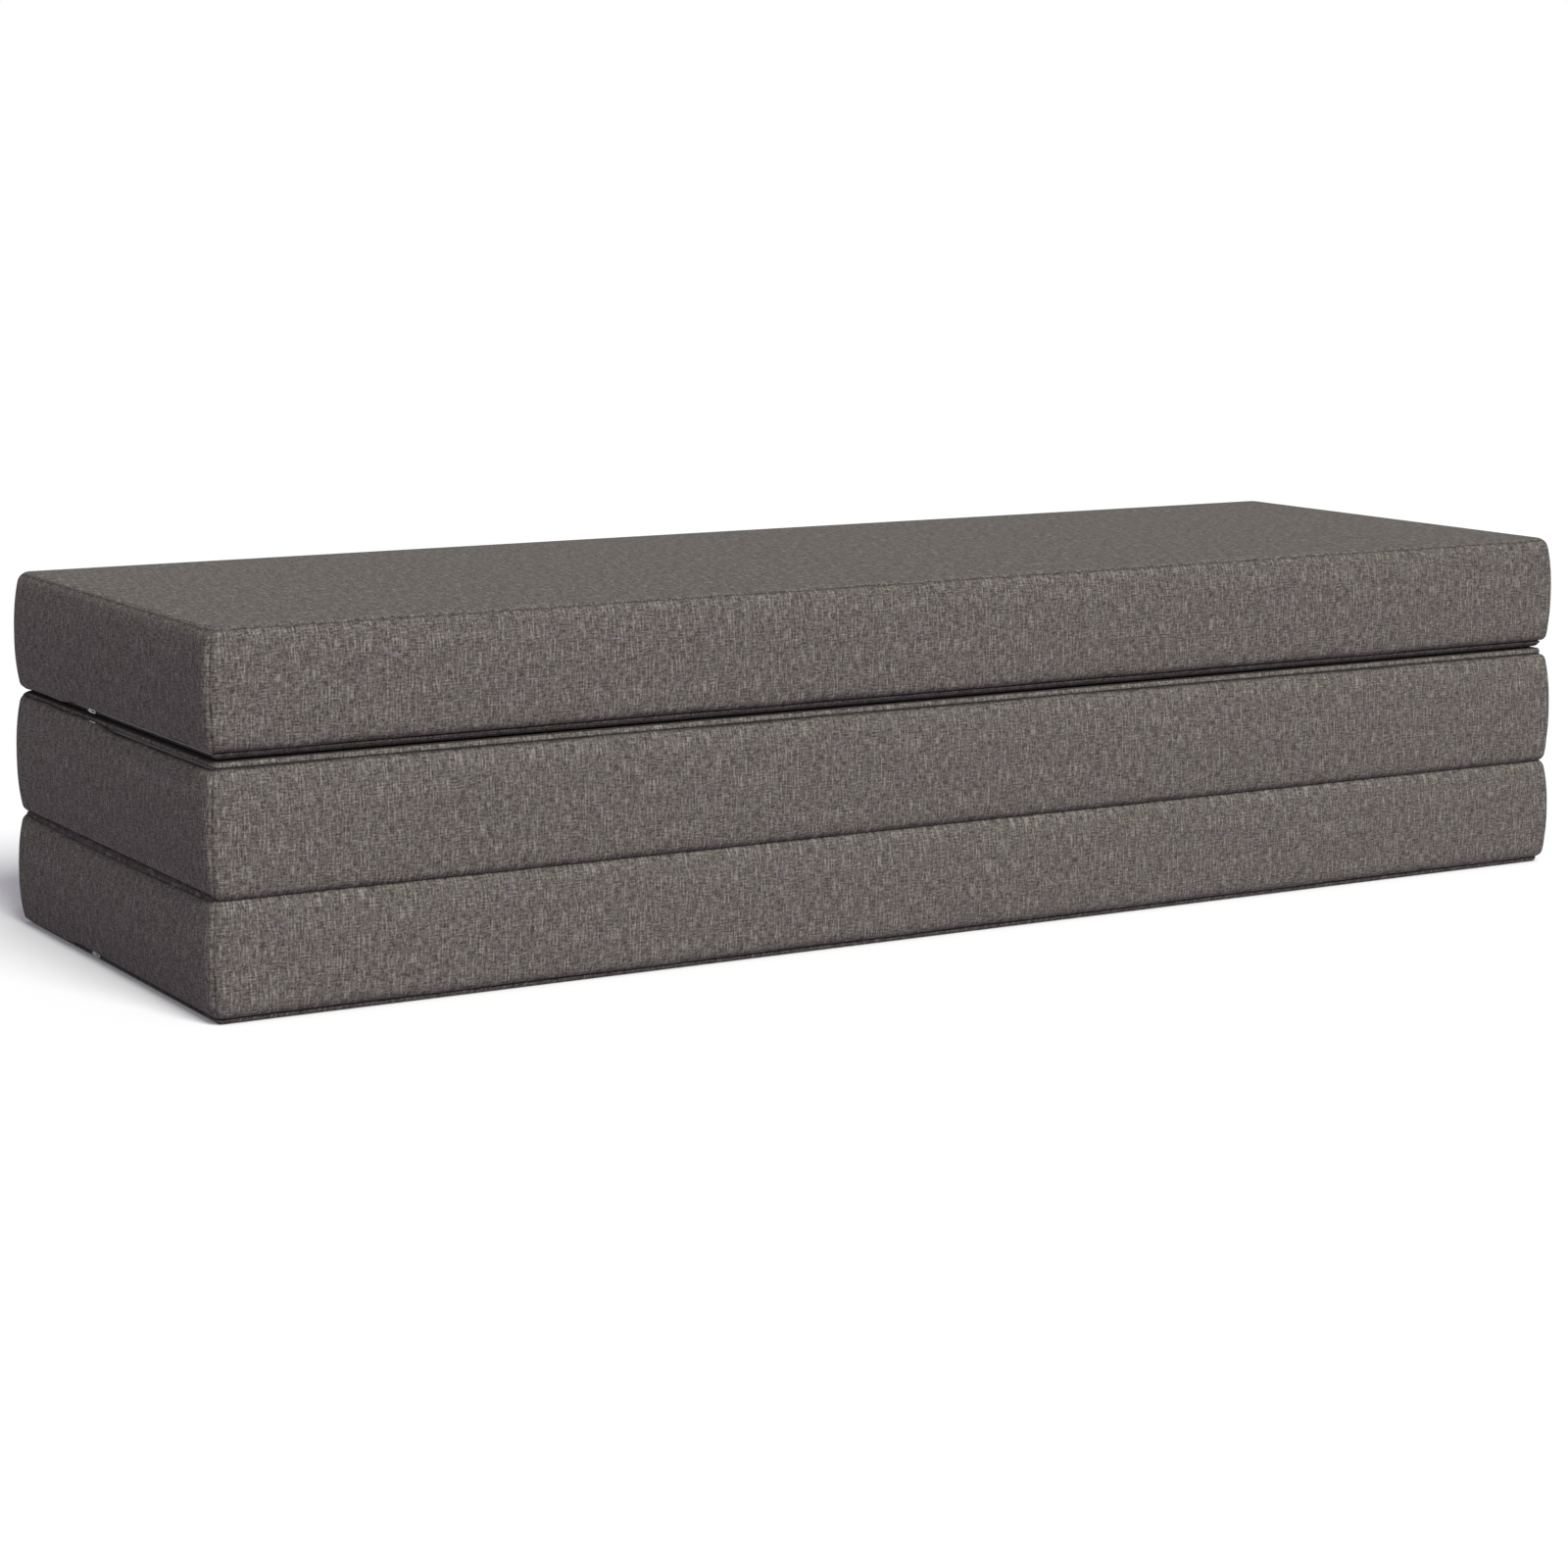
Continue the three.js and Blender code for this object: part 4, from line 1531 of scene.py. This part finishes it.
@dataclass(frozen=True)
class Studio:
    """A pale floor, soft light from the front and the camera at the photographed angle.

    The lights are tinted a little, because the photographed left end is cooler than the front: the key is
    slightly warm, and what the sky and the floor send is slightly cool.
    """

    floor_size: float = 30.0
    floor_seen: str = "#f9f9ff"
    floor_lit: tuple[float, float, float, float] = (0.513, 0.463, 0.573, 1.0)
    floor_glow: float = 0.10
    sky_seen: tuple[float, float, float, float] = (1.0, 1.0, 1.0, 1.0)
    sky_lit: tuple[float, float, float, float] = (0.237, 0.225, 0.251, 1.0)
    key_colour: tuple[float, float, float] = (0.985, 1.0, 0.915)
    key_strength: float = 3.45
    key_softness: float = math.radians(28)
    key_elevation: float = math.radians(45)
    sensor: float = 36.0
    lens: float = 83.94
    shift_y: float = -0.17
    place: tuple[float, float, float] = (-2.4149, -4.0703, 0.9487)
    yaw: float = math.radians(30.183)
    pitch: float = math.radians(5.511)

    def build(self) -> None:
        """Makes the floor, the world, the lamp and the camera."""
        self.make_floor()
        self.make_world()
        self.make_key()
        self.make_camera()
        bpy.context.scene.view_settings.view_transform = "Standard"

    def seen(self, tree: bpy.types.NodeTree) -> bpy.types.NodeSocket:
        """Adds the nodes that tell what is seen, by the camera or in gloss, from what only lights.

        Args:
            tree: The node tree that they go into.

        Returns:
            One where it is seen, otherwise nothing.
        """
        rays = add_node(tree, "ShaderNodeLightPath").outputs
        either = {0: rays["Is Camera Ray"], 1: rays["Is Glossy Ray"]}
        return add_node(tree, "ShaderNodeMath", either, operation="MAXIMUM").outputs[0]

    def make_floor(self) -> None:
        """Makes the floor: seen as white but for its shadow, and darker in the light it sends back up."""
        bm = bmesh.new()
        bmesh.ops.create_grid(bm, x_segments=1, y_segments=1, size=self.floor_size / 2)
        floor = add_piece("studio_floor", bm)
        material, tree = new_material("matt white studio floor")
        lit = add_node(tree, "ShaderNodeBsdfDiffuse", {"Color": self.floor_lit})
        matt = add_node(tree, "ShaderNodeBsdfDiffuse", {"Color": linear(self.floor_seen)})
        glow = add_node(tree, "ShaderNodeEmission", {"Strength": self.floor_glow})
        shown = add_node(tree, "ShaderNodeAddShader", {0: matt.outputs[0], 1: glow.outputs[0]})
        either = {0: self.seen(tree), 1: lit.outputs[0], 2: shown.outputs[0]}
        mix = add_node(tree, "ShaderNodeMixShader", either)
        add_node(tree, "ShaderNodeOutputMaterial", {"Surface": mix.outputs[0]})
        floor.data.materials.append(material)

    def make_world(self) -> None:
        """Makes the world: white where it is seen, an even, slightly cool grey where it lights."""
        world = bpy.data.worlds.new("studio")
        bpy.context.scene.world = world
        world.use_nodes = True
        tree = world.node_tree
        tree.nodes.clear()
        either = {MIX_FACTOR: self.seen(tree), MIX_A: self.sky_lit, MIX_B: self.sky_seen}
        colour = add_node(tree, "ShaderNodeMix", either, data_type="RGBA")
        background = add_node(tree, "ShaderNodeBackground", {"Color": colour.outputs[MIX_RESULT]})
        add_node(tree, "ShaderNodeOutputWorld", {"Surface": background.outputs[0]})

    def make_key(self) -> None:
        """Makes the soft key light from the front."""
        lamp = bpy.data.lights.new("soft key", "SUN")
        lamp.energy = self.key_strength
        lamp.color = self.key_colour
        lamp.angle = self.key_softness
        add_object("soft key", lamp).rotation_euler = (QUARTER_TURN - self.key_elevation, 0, 0)

    def make_camera(self) -> None:
        """Makes the camera where the photograph was taken from."""
        data = bpy.data.cameras.new("camera")
        data.sensor_width = self.sensor
        data.lens = self.lens
        data.shift_y = self.shift_y
        camera = add_object("camera", data)
        level = math.cos(self.pitch)
        ahead = Vector((math.sin(self.yaw) * level, math.cos(self.yaw) * level, -math.sin(self.pitch)))
        camera.location = self.place
        camera.rotation_euler = ahead.to_track_quat("-Z", "Y").to_euler()
        bpy.context.scene.camera = camera


def main() -> None:
    logging.basicConfig(level=logging.INFO, format="%(message)s")
    finishes = Finishes()
    base = Section(
        "base", turned=False, free=False, folds={Side.FRONT: "front_fold"}, phase=0.0,
        edge_drop=8.5 * MM, front_drop=6.4 * MM, head_radius=9 * MM, front_radius=11 * MM, shoulder=18 * MM,
        end_sag=4 * MM, end_shade=0.15, crease_depth=2 * MM, under_lift=0.4 * MM, strip_slant=4 * MM,
        lip_foot=7.2 * MM,
    )
    middle = Section(
        "middle", turned=True, free=False, folds={Side.FRONT: "front_fold", Side.BACK: "rear_fold"},
        phase=1.1, edge_drop=-2 * MM, front_drop=0.4 * MM, head_radius=6 * MM, front_radius=11 * MM,
        shoulder=8 * MM, end_shade=0.8, foot_shade=0.65, hang_from=-0.03, crease_below=8.4 * MM,
        crease_depth=2 * MM, lip_foot=7.6 * MM,
    )
    top = Section(
        "top", turned=False, free=True, folds={Side.BACK: "rear_fold"}, phase=2.3,
        edge_drop=3.43 * MM, front_drop=3.43 * MM, head_radius=12 * MM, front_radius=12 * MM,
        shoulder=12 * MM, lip_foot=10.6 * MM, under_lift=4.6 * MM, strip_slant=3.5 * MM,
    )
    gusset = FoldGusset(
        "rear_fold_hinge", middle, top, Side.BACK, low_edge=293.9 * MM, high_edge=295.0 * MM,
        edge_reach=-5 * MM, fold_reach=-11 * MM,
    )
    sections = (base, middle, top)
    padded = [entry for section in sections for entry in section.shape()]
    ClothPass().settle(padded)
    for section in sections:
        section.build(finishes)
    middle.add_crease("base", "front_fold", finishes)
    gusset.build(finishes)
    Studio().build()


if __name__ == "__main__":
    main()
